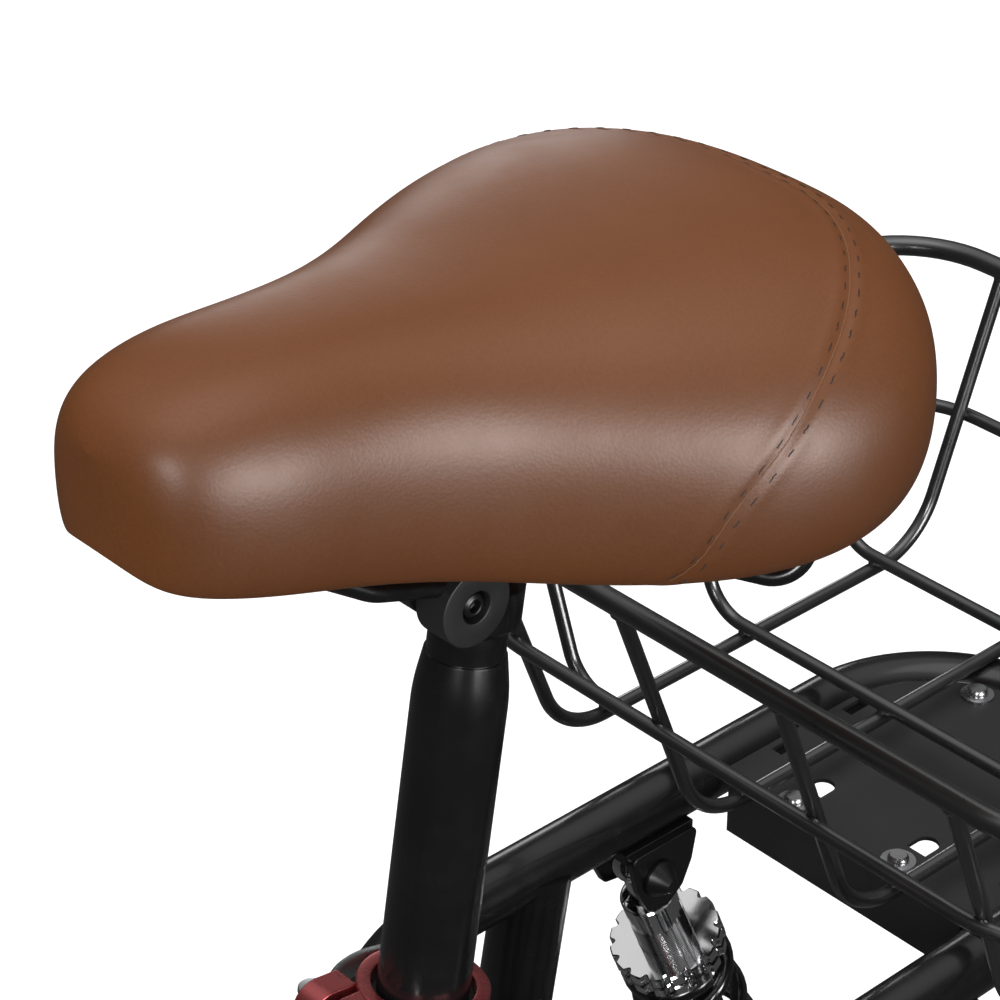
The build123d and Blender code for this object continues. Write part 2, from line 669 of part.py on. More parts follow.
def hub(centre, length, flange_x, bore, shell=15.0, flange=23.0):
    """A turned hub shell with two spoke flanges."""
    half = length / 2
    outline = [(-half, bore), (half, bore), (half, shell - 3), (flange_x + 4, shell)]
    outline += [(flange_x + 1.5, flange), (flange_x - 1.5, flange), (flange_x - 5, shell)]
    outline += [(-flange_x + 5, shell), (-flange_x + 1.5, flange), (-flange_x - 1.5, flange)]
    outline += [(-flange_x - 4, shell), (-half, shell - 3)]
    return turned(outline, centre)


def spokes(centre, count, flange_x, flange, rim_radius, radius=1.1):
    """Crossed spokes from both flanges to the rim."""
    group = []
    for index in range(count):
        side = 1 if index % 2 == 0 else -1
        at_rim = 2 * pi * index / count
        lean = radians(62) * (1 if (index // 2) % 2 == 0 else -1)
        at_hub = at_rim + lean
        start = centre + Vector(side * flange_x, cos(at_hub) * (flange - 3), sin(at_hub) * (flange - 3))
        end = centre + Vector(side * 2.5, cos(at_rim) * rim_radius, sin(at_rim) * rim_radius)
        nipple = end + (start - end).normalized() * 11
        group.append(rod(start, end, radius) + rod(end, nipple, 2.1))
    return group


def rim(centre, seat_radius, half, well):
    """A rim with two brake walls, a bead seat and a box underneath."""
    outline = [
        (-half, seat_radius + 6), (-half + 2, seat_radius + 6), (-half + 2.4, seat_radius + 0.5),
        (-6, seat_radius - 2), (6, seat_radius - 2), (half - 2.4, seat_radius + 0.5),
        (half - 2, seat_radius + 6), (half, seat_radius + 6), (half - 1, seat_radius - 4),
        (7, seat_radius - well), (-7, seat_radius - well), (-half + 1, seat_radius - 4),
    ]
    return turned(outline, centre)


def tyre(centre, outside, seat_radius, half_width, rim_half):
    """A tyre of C section whose beads sit inside the rim's walls."""
    middle = (outside + seat_radius + 3) / 2
    tall = outside - middle
    face = Ellipse(half_width, tall) - Ellipse(half_width - 4, tall - 5)
    face -= Pos(0, -tall) * Rectangle(2 * (rim_half - 4.6), 2 * tall)
    face = Pos(0, middle) * face
    face -= Pos(0, seat_radius) * Rectangle(2 * half_width, 12.4)
    bead = [(rim_half - 2.7, seat_radius + 1), (rim_half - 2.7, seat_radius + 12)]
    bead += [(rim_half - 7, seat_radius + 12), (rim_half - 7, seat_radius + 1)]
    for side in (1, -1):
        face += make_face(Polyline(*[(side * x, r) for x, r in bead], close=True))
    return Pos(*centre) * revolve(face, axis=Axis.X, revolution_arc=360)


FRONT_FLANGE_X = 31.0
REAR_SEAT = 101.5
REAR_RIM_HALF = 18.0
REAR_FLANGE_X = 22.0
AXLE_RADIUS = 8.5
HUB_HALF = 30.0

# ----------------------------------------------------------------- handlebar
STEM_TOP = 800.0
STEM_REACH = 60.0
BAR_RADIUS = 11.1
BAR_CENTRE = steer(0, STEM_TOP, STEM_REACH)
BAR_SHAPE = [(0, 0, 0), (52, 0, 0), (118, 14, 50), (180, 36, 56), (300, 96, 56)]
BAR_BENDS = [60, 45, 40, 40, 45, 60]
GRIP_START = 0.2  # share of the last run that stays bare
GRIP_RADIUS = 16.0


def bar_point(side, index):
    x, back, up = BAR_SHAPE[index]
    return BAR_CENTRE + Vector(side * x, back, up)


def stem():
    """The quill with its forward bend and the clamp for the handlebar."""
    tilt = steer(0, STEM_TOP, STEM_REACH - 8)
    body = bent([steer(0, 332), steer(0, STEM_TOP), tilt], 26, QUILL_RADIUS)
    body += cross_bar(BAR_CENTRE, -22, 22, 19)
    body -= bent([steer(0, 331), steer(0, STEM_TOP), steer(0, STEM_TOP, 40)], 26, QUILL_RADIUS - 3)
    body -= cross_bar(BAR_CENTRE, -30, 30, 12.7)
    slit = Plane(origin=BAR_CENTRE + STEER_FRONT * 16, x_dir=(1, 0, 0), z_dir=STEER_UP)
    return body - extrude(slit * Rectangle(60, 22), amount=1.5, both=True)


def stem_bolts():
    """The four bolts that close the stem's clamp."""
    group = []
    for x in (-14, 14):
        start = steer(x, STEM_TOP - 19.5, STEM_REACH + 16)
        top = steer(x, STEM_TOP + 19.5, STEM_REACH + 16)
        bolt = rod(start, top, 2.5) + rod(top - STEER_UP * 4, top + STEER_UP * 1, 4.5)
        group.append(bolt)
    return group


def handlebar():
    points = [bar_point(-1, i) for i in range(4, 0, -1)] + [bar_point(1, i) for i in range(1, 5)]
    body = bent(points, BAR_BENDS, BAR_RADIUS)
    body += cross_bar(BAR_CENTRE, -28, 28, 12.7)
    return body - bent(points, BAR_BENDS, BAR_RADIUS - 2.2)


def grip(side):
    start, end = bar_point(side, 3), bar_point(side, 4)
    run = end - start
    outer = rod(start + run * GRIP_START, end + run.normalized() * 3, GRIP_RADIUS)
    return outer - rod(start, end, BAR_RADIUS)


LEVER_SIDE = SIDES["right"]
LEVER_SHARE = 0.1
BELL_SHARE = 0.1
LEVER_AHEAD = 27.0


def bar_frame(side, share):
    """Place, outward direction and forward direction on the bar's last run."""
    start, end = bar_point(side, 3), bar_point(side, 4)
    out = (end - start).normalized()
    ahead = Vector(0, -1, 0) - out * Vector(0, -1, 0).dot(out)
    return start + (end - start) * share, out, ahead.normalized()


def lever_pivot():
    place, out, ahead = bar_frame(LEVER_SIDE, LEVER_SHARE)
    return place + ahead * LEVER_AHEAD


def lever_up():
    _, out, ahead = bar_frame(LEVER_SIDE, LEVER_SHARE)
    up = out.cross(ahead)
    return up if up.Z > 0 else up * -1


def lever_mount():
    """The clamp and forked housing that hold the brake lever on the bar."""
    place, out, ahead = bar_frame(LEVER_SIDE, LEVER_SHARE)
    up = lever_up()
    body = rod(place - out * 8, place + out * 8, 16)
    plane = Plane(origin=place + ahead * 21 - up * 9, x_dir=out, z_dir=up)
    body += extrude(plane * Rectangle(22, 30), amount=18)
    body -= rod(place - out * 30, place + out * 30, BAR_RADIUS)
    slot = Plane(origin=place + ahead * 30 - up * 4.3, x_dir=out, z_dir=up)
    body -= extrude(slot * Rectangle(40, 24), amount=8.6)
    pin = lever_pivot()
    body += rod(pin - up * 9, pin + up * 9, 2.5)
    return body


def brake_lever():
    """The blade that swings back towards the grip about its pin."""
    place, out, ahead = bar_frame(LEVER_SIDE, LEVER_SHARE)
    up = lever_up()
    pin = lever_pivot()
    plane = Plane(origin=pin - up * 4, x_dir=out, z_dir=up)
    boss = extrude(plane * Circle(6), amount=8)
    points = [pin, pin + out * 24 + ahead * 14, pin + out * 62 + ahead * 20, pin + out * 112 + ahead * 24]
    path = FilletPolyline(*points, radius=[30, 60])
    section = Plane(origin=path @ 0, x_dir=up, z_dir=path % 0) * RectangleRounded(8, 7, 2.4)
    body = boss + sweep(section, path=path)
    return body - rod(pin - up * 9, pin + up * 9, 2.5 + RUNNING_GAP)


BELL_SIDE = SIDES["left"]


def bell_axis():
    place, out, ahead = bar_frame(BELL_SIDE, BELL_SHARE)
    up = out.cross(ahead)
    return place, out, up if up.Z > 0 else up * -1


def bell():
    """A domed bell on a band round the bar."""
    place, out, up = bell_axis()
    body = rod(place - out * 7, place + out * 7, 14, BAR_RADIUS)
    body += rod(place + up * 12, place + up * 24, 6)
    body += rod(place + up * 23, place + up * 27, 22)
    outline = [(0, 27), (24, 27), (23, 37), (18, 45), (9, 49), (0, 50)]
    face = make_face(Polyline(*[(x, 0, z) for x, z in outline], close=True))
    dome = Plane(origin=place, x_dir=out, z_dir=up) * revolve(face, axis=Axis.Z, revolution_arc=360)
    return body + dome - rod(place - out * 20, place + out * 20, BAR_RADIUS)


def bell_pin():
    place, out, up = bell_axis()
    return place + out * 15, out, up


def bell_lever():
    """The thumb lever under the dome, on a stub below the bell's base."""
    pin, out, up = bell_pin()
    back = up.cross(out)
    back = back if back.Y > 0 else back * -1
    plane = Plane(origin=pin + up * 18, x_dir=back, z_dir=up)
    face = Circle(4.5) + Pos(16, 0) * Rectangle(32, 6) + Pos(32, 0) * Circle(5)
    return extrude(plane * face, amount=3.2)


# ---------------------------------------------------------------- front brake
def brake_arm(side):
    """A long brake arm on its stud, with a pad that faces the rim."""
    pivot = steer(side * ARM_PIVOT_X, ARM_PIVOT_ALONG, ARM_AHEAD)
    plane = Plane(origin=pivot, x_dir=(1, 0, 0), z_dir=STEER_FRONT)
    up = 1 if plane.y_dir.dot(STEER_UP) > 0 else -1
    body = extrude(plane * Circle(9), amount=ARM_THICK)
    top_x, top_y = -side * 2, up * 92
    blade = make_face(
        Polyline((-7, 0), (top_x - 5, top_y), (top_x + 5, top_y), (8, 0), close=True)
    )
    body += extrude(plane * blade, amount=ARM_THICK)
    body -= rod(pivot - STEER_FRONT * 5, pivot + STEER_FRONT * 15, 4 + RUNNING_GAP)
    radial = (steer(0, PAD_ALONG, ARM_AHEAD + ARM_THICK / 2) - FRONT_AXLE).normalized()
    centre = FRONT_AXLE + radial * PAD_RADIUS + X_AXIS * side * (FRONT_RIM_HALF + PAD_GAP)
    block = Plane(origin=centre, x_dir=X_AXIS.cross(radial), z_dir=X_AXIS * side)
    body += extrude(block * RectangleRounded(46, 8, 3), amount=8)
    return body + extrude(block * Circle(4), amount=ARM_PIVOT_X - FRONT_RIM_HALF - PAD_GAP - 2)


# ------------------------------------------------------------------ swingarm
CARRIER_AHEAD = 70.0
HOUSING_X = 150.0
HOUSING_HALF = 11.0
BEARING_RADIUS = 17.5
ARCH_RADIUS = 12.7
SHOCK_LOW = SHOCK_EYE + SHOCK_DOWN * SHOCK_LENGTH
ARCH = SHOCK_LOW - Vector(0, 0, 29)


def between_axles(back):
    """A point on the line from the crank to the rear axle, back mm before the axle."""
    share = back / (REAR_AXLE.Y - CRANK.Y)
    return REAR_AXLE + (CRANK - REAR_AXLE) * share


def swingarm():
    """Pivot rings, a central beam, a cross tube and two bearing housings."""
    pieces = []
    cross = between_axles(CARRIER_AHEAD)
    near = between_axles(REAR_AXLE.Y - CRANK.Y - 62)
    for side in SIDES.values():
        inner, outer = sorted((side * 27.5, side * 35.5))
        pieces.append(cross_bar(CRANK, inner, outer, 29))
        drop = Vector(0, 0, 13)
        yoke = [CRANK + drop, near + drop, near - drop, CRANK - drop]
        pieces.append(side_plate([(p.Y, p.Z) for p in yoke], inner, outer))
    pieces.append(cross_bar(near, -35.5, 35.5, 15.9))
    along = (cross - near).normalized()
    beam = Plane(origin=near, x_dir=(1, 0, 0), z_dir=along)
    pieces.append(extrude(beam * RectangleRounded(56, 34, 8), amount=(cross - near).length))
    pieces.append(cross_bar(cross, -HOUSING_X, HOUSING_X, 15.9))
    for side in SIDES.values():
        low, high = sorted((side * (HOUSING_X - HOUSING_HALF), side * (HOUSING_X + HOUSING_HALF)))
        pieces.append(cross_bar(REAR_AXLE, low, high, 25))
        mid = sorted((side * (HOUSING_X - 4), side * (HOUSING_X + 4)))
        plate = [
            (cross.Y, cross.Z + 15), (ARCH.Y - 12, ARCH.Z - 62), (ARCH.Y + 12, ARCH.Z - 62),
            (REAR_AXLE.Y + 20, REAR_AXLE.Z + 14), (REAR_AXLE.Y, REAR_AXLE.Z - 24), (cross.Y, cross.Z - 15),
        ]
        pieces.append(side_plate(plate, *mid))
    body = fused(pieces)
    body -= cross_bar(REAR_AXLE, -200, 200, BEARING_RADIUS)
    body -= cross_bar(CRANK, -60, 60, 23.5)
    return body


def pivot_bushes():
    """Two bushes between the swingarm's rings and the crank shell."""
    return [
        cross_bar(CRANK, *sorted((s * 27.5, s * 35.5)), 23.5, SHELL_RADIUS + RUNNING_GAP) for s in (1, -1)
    ]


def axle_bearings():
    """Two bearings, one pressed in each housing."""
    rings = []
    for side in SIDES.values():
        low, high = sorted((side * (HOUSING_X - 6), side * (HOUSING_X + 6)))
        rings.append(cross_bar(REAR_AXLE, low, high, BEARING_RADIUS, AXLE_RADIUS + RUNNING_GAP))
    return rings


def shock_arch():
    """The arch over the axle that carries the lower ends of the shocks."""
    foot = Vector(HOUSING_X, ARCH.Y, ARCH.Z - 62)
    points = [foot, Vector(HOUSING_X, ARCH.Y, ARCH.Z), Vector(-HOUSING_X, ARCH.Y, ARCH.Z)]
    points.append(Vector(-HOUSING_X, ARCH.Y, ARCH.Z - 62))
    body = bent(points, 42, ARCH_RADIUS)
    outline = [(-17, -32), (17, -32), (10, 9), (-10, 9)]
    corners = [(SHOCK_LOW.Y + y, SHOCK_LOW.Z + z) for y, z in outline]
    for side in SIDES.values():
        for face in (-1, 1):
            near = side * RAIL_X + face * PLATE_GAP
            body += side_plate(corners, *sorted((near, near + face * PLATE_THICK)))
        x = side * RAIL_X
        outer = PLATE_GAP + PLATE_THICK
        body += cross_bar(SHOCK_LOW, x - outer - 6, x + outer + 6, PIVOT_RADIUS)
    return body


# -------------------------------------------------------------------- shocks
BODY_RADIUS = 12.15
BODY_START = 24.0
BODY_END = 196.0
SHAFT_RADIUS = 6.0
COLLAR_START = 54.0
COLLAR_END = 67.0
SPRING_SEAT = 284.0
SPRING_RADIUS = 21.0
SPRING_WIRE = 3.9
SPRING_TURNS = 9.0


def along_shock(side, distance):
    return SHOCK_EYE + SHOCK_DOWN * distance + X_AXIS * side * RAIL_X


def shock_body(side):
    """Eye, neck and the threaded body that holds the damper."""
    eye = along_shock(side, 0)
    body = cross_bar(eye, eye.X - EYE_HALF, eye.X + EYE_HALF, 10.5)
    body += rod(along_shock(side, 4), along_shock(side, BODY_START + 4), 7)
    body += rod(along_shock(side, BODY_START), along_shock(side, BODY_END), BODY_RADIUS)
    body -= cross_bar(eye, eye.X - 20, eye.X + 20, PIVOT_RADIUS + RUNNING_GAP)
    return body - rod(along_shock(side, 100), along_shock(side, BODY_END + 1), SHAFT_RADIUS + RUNNING_GAP)


def shock_collar(side):
    """The notched ring that sets the spring's preload."""
    ring = rod(along_shock(side, COLLAR_START), along_shock(side, COLLAR_END), 25, BODY_RADIUS)
    plane = Plane(origin=along_shock(side, COLLAR_START - 1), x_dir=(1, 0, 0), z_dir=SHOCK_DOWN)
    for place in PolarLocations(25, 16):
        ring -= extrude(plane * place * Circle(2.3), amount=8)
    return ring


def shock_spring(side):
    """The coil spring, closed between the collar and the lower seat."""
    length = SPRING_SEAT - COLLAR_END - 2 * SPRING_WIRE
    path = Helix(pitch=length / SPRING_TURNS, height=length, radius=SPRING_RADIUS)
    coil = sweep(Plane(origin=path @ 0, z_dir=path % 0) * Circle(SPRING_WIRE), path=path, is_frenet=True)
    place = Plane(origin=along_shock(side, COLLAR_END + SPRING_WIRE), x_dir=(1, 0, 0), z_dir=SHOCK_DOWN)
    return place * coil


def shock_shaft(side):
    """The damper's shaft with the spring's seat and the lower eye."""
    body = rod(along_shock(side, 150), along_shock(side, 304), SHAFT_RADIUS)
    body += rod(along_shock(side, SPRING_SEAT), along_shock(side, SPRING_SEAT + 6), 25)
    body += rod(along_shock(side, SPRING_SEAT), along_shock(side, 308), 9)
    eye = along_shock(side, SHOCK_LENGTH)
    body += cross_bar(eye, eye.X - EYE_HALF, eye.X + EYE_HALF, 13)
    return body - cross_bar(eye, eye.X - 20, eye.X + 20, PIVOT_RADIUS + 1.5)


# --------------------------------------------------------------- drive train
RING_RADIUS = CHAIN_PITCH / (2 * sin(pi / CHAINRING_TEETH))
SPROCKET_RADIUS = CHAIN_PITCH / (2 * sin(pi / SPROCKET_TEETH))
TOOTH_HALF = 1.2
PLATE_HALF = 1.7
CHAIN_HALF = 3.6
CRANK_INNER = 60.0
CRANK_OUTER = 72.0


def toothed(centre, teeth, pitch_radius):
    """A toothed disc in the chain's plane."""
    points = []
    for tooth in range(teeth):
        for share, reach in ((-0.22, -4.6), (-0.1, 3.0), (0.1, 3.0), (0.22, -4.6)):
            angle = 2 * pi * (tooth + share) / teeth
            radius = pitch_radius + reach
            points.append((radius * cos(angle), radius * sin(angle)))
    plane = Plane(origin=(CHAIN_LINE_X - TOOTH_HALF, centre.Y, centre.Z), x_dir=(0, 1, 0), z_dir=(1, 0, 0))
    return extrude(plane * make_face(Polyline(*points, close=True)), amount=2 * TOOTH_HALF)


def chainring():
    ring = toothed(CRANK, CHAINRING_TEETH, RING_RADIUS)
    plane = Plane(origin=(CHAIN_LINE_X - 5, CRANK.Y, CRANK.Z), x_dir=(0, 1, 0), z_dir=(1, 0, 0))
    for place in PolarLocations(47, 5):
        ring -= extrude(plane * place * Circle(14), amount=10)
    return ring - cross_bar(CRANK, -80, 0, 16)


def crank(side):
    """A crank arm with its boss and the pedal's spindle."""
    ahead = -side  # the left arm points forward, the right one back
    pedal = CRANK + Vector(0, ahead * CRANK_LENGTH, 0)
    low, high = sorted((side * CRANK_INNER, side * CRANK_OUTER))
    body = cross_bar(CRANK, low, high, 16) + cross_bar(pedal, low, high, 13)
    plane = Plane(origin=(low, CRANK.Y, CRANK.Z), x_dir=(0, 1, 0), z_dir=(1, 0, 0))
    arm = make_face(
        Polyline((0, -14), (0, 14), (ahead * CRANK_LENGTH, 11), (ahead * CRANK_LENGTH, -11), close=True)
    )
    body += extrude(plane * arm, amount=high - low)
    start, end = sorted((side * (CRANK_OUTER - 2), side * 172))
    body += cross_bar(pedal, start, end, 5)
    if side == SIDES["right"]:
        body += cross_bar(CRANK, -CRANK_INNER, CHAIN_LINE_X - TOOTH_HALF, 60, 30) & spider_star()
        body += cross_bar(CRANK, -CRANK_INNER - 1, CHAIN_LINE_X - TOOTH_HALF, 33)
        body += cross_bar(CRANK, CHAIN_LINE_X - TOOTH_HALF - 1, CHAIN_LINE_X + TOOTH_HALF, 16)
    return body - cross_bar(CRANK, -CRANK_OUTER + 3, CRANK_OUTER - 3, SPINDLE_RADIUS)


def spider_star():
    plane = Plane(origin=(-CRANK_INNER, CRANK.Y, CRANK.Z), x_dir=(0, 1, 0), z_dir=(1, 0, 0))
    star = extrude(plane * Rectangle(130, 12), amount=20)
    for turn in range(1, 5):
        star += extrude(plane * Rot(0, 0, 36 * turn) * Rectangle(130, 12), amount=20)
    return star


def crank_spindle():
    return cross_bar(CRANK, -CRANK_OUTER + 3, CRANK_OUTER - 3, SPINDLE_RADIUS)


def pedal(side):
    """A platform pedal that turns on the crank's spindle."""
    centre = CRANK + Vector(side * 124, -side * CRANK_LENGTH, 0)
    body = Pos(*centre) * Box(94, 66, 22)
    body -= Pos(*centre) * Box(80, 20, 30)
    for y in (-21.5, 21.5):
        body -= Pos(*(centre + Vector(0, y, 0))) * Box(80, 11, 30)
    body += cross_bar(centre, centre.X - 46, centre.X + 46, 9)
    return body - cross_bar(centre, centre.X - 60, centre.X + 60, PIVOT_RADIUS + RUNNING_GAP)


def belt_face(offset):
    """The outline round both sprockets, offset from the chain's pitch line."""
    gap = hypot(REAR_AXLE.Y - CRANK.Y, REAR_AXLE.Z - CRANK.Z)
    lean = acos((RING_RADIUS - SPROCKET_RADIUS) / gap)
    large, small = RING_RADIUS + offset, SPROCKET_RADIUS + offset
    corners = []
    for sign in (1, -1):
        direction = (cos(lean), sign * sin(lean))
        corners.append([(large * direction[0], large * direction[1]),
                        (gap + small * direction[0], small * direction[1])])
    body = Polygon(corners[0][0], corners[0][1], corners[1][1], corners[1][0], align=None)
    return body + Circle(large) + Pos(gap, 0) * Circle(small), corners, gap


def chain():
    """Side plates round both sprockets, with pins along the two straight runs."""
    line = REAR_AXLE - CRANK
    plane = Plane(origin=(CHAIN_LINE_X, CRANK.Y, CRANK.Z), x_dir=(0, line.Y, line.Z), z_dir=(1, 0, 0))
    outer, _, gap = belt_face(4.1)
    inner, _, _ = belt_face(-4.1)
    band = outer - inner
    plates = []
    for side in (1, -1):
        face = plane.offset(side * PLATE_HALF) * band
        plates.append(extrude(face, amount=CHAIN_HALF - PLATE_HALF, dir=(side, 0, 0)))
    _, corners, _ = belt_face(0)
    pins = []
    for start, end in corners:
        start, end = Vector(*start), Vector(*end)
        run = end - start
        usable = run.length - 34 - 24
        count = int(usable // (2 * CHAIN_PITCH))
        for index in range(count + 1):
            place = start + run.normalized() * (34 + index * 2 * CHAIN_PITCH)
            face = plane.offset(-PLATE_HALF) * Pos(place.X, place.Y) * Circle(2.2)
            pins.append(extrude(face, amount=2 * PLATE_HALF, dir=(1, 0, 0)))
    return fused(plates + pins)


def freewheel():
    """The small sprocket on its ratchet shell, turning on the axle."""
    disc = toothed(REAR_AXLE, SPROCKET_TEETH, SPROCKET_RADIUS)
    shell = cross_bar(REAR_AXLE, CHAIN_LINE_X - 12, CHAIN_LINE_X + 12, 21)
    return disc + shell - cross_bar(REAR_AXLE, -200, 200, AXLE_RADIUS + 4 + RUNNING_GAP)


def rear_axle():
    """The live axle with its collars, the freewheel's seat and end nuts."""
    body = cross_bar(REAR_AXLE, -288, 288, AXLE_RADIUS)
    body += cross_bar(REAR_AXLE, CHAIN_LINE_X - 12, CHAIN_LINE_X + 12, AXLE_RADIUS + 4)
    for place in (CHAIN_LINE_X - 16, CHAIN_LINE_X + 12.3):
        body += cross_bar(REAR_AXLE, place, place + 3.7, 16)
    for side in SIDES.values():
        inner, outer = sorted((side * (HOUSING_X + 12), side * (HOUSING_X + 20)))
        body += cross_bar(REAR_AXLE, inner, outer, 13)
        face = side * (HALF_TRACK + HUB_HALF + 0.3)
        nut = Plane(origin=(face, REAR_AXLE.Y, REAR_AXLE.Z), z_dir=(side, 0, 0)) * RegularPolygon(14, 6)
        body += extrude(nut, amount=9)
    return body


def rear_wheel(side):
    """Hub, spokes and rim of one rear wheel."""
    centre = REAR_AXLE + X_AXIS * side * HALF_TRACK
    bore = AXLE_RADIUS + (RUNNING_GAP if side == SIDES["right"] else 0)
    body = hub(centre, 2 * HUB_HALF, REAR_FLANGE_X, bore, 17, 27)
    body += rim(centre, REAR_SEAT, REAR_RIM_HALF, 13)
    return fused([body] + spokes(centre, 20, REAR_FLANGE_X, 27, REAR_SEAT - 6))


# --------------------------------------------------------------------- nodes
NODES = {
    "head_tube": head_tube,
    "main_tube": main_tube,
    "seat_tube": seat_tube,
    "crank_cups": crank_cups,
    "headset_cups": headset_cups,
    "rail_hoop": rail_hoop,
    "rail_struts": rail_struts,
    "shock_hangers": shock_plates,
    "rack_plate": rack_plate,
    "rack_screws": rack_screws,
    "basket_floor": basket_floor,
    "basket_ends": lambda: [basket_wall("front"), basket_wall("rear")],
    "basket_sides": lambda: [basket_wall("left"), basket_wall("right")],
    "seat_clamp": seat_clamp,
    "seat_clamp_bolt": clamp_bolt,
    "seat_clamp_lever": clamp_lever,
    "seat_post": seat_post,
    "saddle_clamp": saddle_clamp,
    "saddle_clamp_bolt": saddle_bolt,
    "saddle_rails": saddle_rails,
    "saddle_base": saddle_base,
    "saddle_cover": saddle_cover,
    "fork": fork,
    "front_fender": front_fender,
    "front_axle": front_axle,
    "front_hub": lambda: hub(FRONT_AXLE, 97, FRONT_FLANGE_X, FRONT_AXLE_RADIUS + RUNNING_GAP),
    "front_spokes": lambda: spokes(FRONT_AXLE, 28, FRONT_FLANGE_X, 23, FRONT_SEAT - 6),
    "front_rim": lambda: rim(FRONT_AXLE, FRONT_SEAT, FRONT_RIM_HALF, 12),
    "front_tyre": lambda: tyre(FRONT_AXLE, FRONT_RADIUS, FRONT_SEAT, 26, FRONT_RIM_HALF),
    "stem": lambda: [stem(), *stem_bolts()],
    "handlebar": handlebar,
    "grips": lambda: [grip(side) for side in SIDES.values()],
    "brake_lever_mount": lever_mount,
    "brake_lever": brake_lever,
    "bell": bell,
    "bell_lever": bell_lever,
    "brake_arm_left": lambda: brake_arm(1),
    "brake_arm_right": lambda: brake_arm(-1),
    "swingarm": swingarm,
    "swingarm_bearings": lambda: pivot_bushes() + axle_bearings(),
    "shock_arch": shock_arch,
    "chain": chain,
    "chainring": chainring,
    "crank_left": lambda: crank(1),
    "crank_right": lambda: crank(-1),
    "crank_spindle": crank_spindle,
    "freewheel": freewheel,
    "rear_axle": rear_axle,
}
for name, side in SIDES.items():
    NODES[f"pedal_{name}"] = lambda side=side: pedal(side)
    NODES[f"rear_wheel_{name}"] = lambda side=side: rear_wheel(side)
    NODES[f"rear_tyre_{name}"] = lambda side=side: tyre(
        REAR_AXLE + X_AXIS * side * HALF_TRACK, REAR_RADIUS, REAR_SEAT, 27, REAR_RIM_HALF
    )
    NODES[f"shock_body_{name}"] = lambda side=side: [shock_body(side), shock_collar(side)]
    NODES[f"shock_spring_{name}"] = lambda side=side: shock_spring(side)
    NODES[f"shock_shaft_{name}"] = lambda side=side: shock_shaft(side)

for node, build in NODES.items():
    save(node, build())
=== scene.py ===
import json
from math import acos, asin, cos, exp, pi, radians, sin, tan

import bpy
from mathutils import Matrix, Vector
from mathutils.bvhtree import BVHTree
from mathutils.kdtree import KDTree


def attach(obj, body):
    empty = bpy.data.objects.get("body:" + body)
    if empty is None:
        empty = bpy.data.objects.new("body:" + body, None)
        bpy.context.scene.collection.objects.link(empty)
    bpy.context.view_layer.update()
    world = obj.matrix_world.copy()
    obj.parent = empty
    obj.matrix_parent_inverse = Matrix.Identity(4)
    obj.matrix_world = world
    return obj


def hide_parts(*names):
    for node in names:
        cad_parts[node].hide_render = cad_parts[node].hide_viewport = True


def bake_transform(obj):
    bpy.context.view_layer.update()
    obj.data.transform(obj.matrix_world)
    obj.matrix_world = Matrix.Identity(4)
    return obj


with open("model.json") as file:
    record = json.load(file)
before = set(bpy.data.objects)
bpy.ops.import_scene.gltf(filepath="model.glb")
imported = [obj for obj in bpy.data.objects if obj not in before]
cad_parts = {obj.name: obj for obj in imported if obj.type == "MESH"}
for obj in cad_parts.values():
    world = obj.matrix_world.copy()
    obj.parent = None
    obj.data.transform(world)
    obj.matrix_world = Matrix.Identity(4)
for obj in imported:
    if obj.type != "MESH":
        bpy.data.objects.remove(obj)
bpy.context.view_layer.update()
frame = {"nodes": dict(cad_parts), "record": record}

# Adult tricycle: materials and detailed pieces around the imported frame.
# Lengths are in millimetres and turned into metres where a mesh is made.
# Places are given from the seat post's shoulder, which the record's mount fixes.

MM = 0.001
MOUNT = frame["record"]["mounts"][0]
SHOULDER_ABOVE_MOUNT = 60
POST_UP = Vector(MOUNT["axis"])
POST_TOP = Vector(MOUNT["pos_m"]) + POST_UP * SHOULDER_ABOVE_MOUNT * MM
X_AXIS = Vector((1, 0, 0))
Y_AXIS = Vector((0, 1, 0))
Z_AXIS = Vector((0, 0, 1))
SIDES = {"left": 1, "right": -1}


def seat(x, y, z):
    """A point given in millimetres from the seat post's shoulder."""
    return POST_TOP + Vector((x, y, z)) * MM


def post(along, x=0.0, ahead=0.0):
    """A point given down the seat tube's axis from the post's shoulder."""
    beside = Vector((x, -ahead * POST_UP.z, ahead * POST_UP.y))
    return POST_TOP - POST_UP * along * MM + beside * MM


# ------------------------------------------------------------------ materials
def new_material(name):
    """A material with its nodes, its links and its surface shader."""
    material = bpy.data.materials.new(name)
    material.use_nodes = True
    nodes = material.node_tree.nodes
    return material, nodes, material.node_tree.links, nodes["Principled BSDF"]


def noise_at(nodes, links, place, scale, detail=4.0, roughness=0.55):
    """A noise of that scale, read at a place in the object."""
    node = nodes.new("ShaderNodeTexNoise")
    node.inputs["Scale"].default_value = scale
    node.inputs["Detail"].default_value = detail
    node.inputs["Roughness"].default_value = roughness
    links.new(place, node.inputs["Vector"])
    return node.outputs["Fac"]


def spread(nodes, links, source, low, high):
    """Maps a noise, which stays near one half, onto the range from low to high."""
    node = nodes.new("ShaderNodeMapRange")
    node.inputs["From Min"].default_value = 0.3
    node.inputs["From Max"].default_value = 0.7
    node.inputs["To Min"].default_value = low
    node.inputs["To Max"].default_value = high
    links.new(source, node.inputs["Value"])
    return node.outputs["Result"]


def two_colours(nodes, links, source, first, second):
    """A colour that wanders between two others as a noise rises and falls."""
    node = nodes.new("ShaderNodeMix")
    node.data_type = "RGBA"
    node.inputs["A"].default_value = (*first, 1)
    node.inputs["B"].default_value = (*second, 1)
    links.new(spread(nodes, links, source, 0, 1), node.inputs["Factor"])
    return node.outputs["Result"]


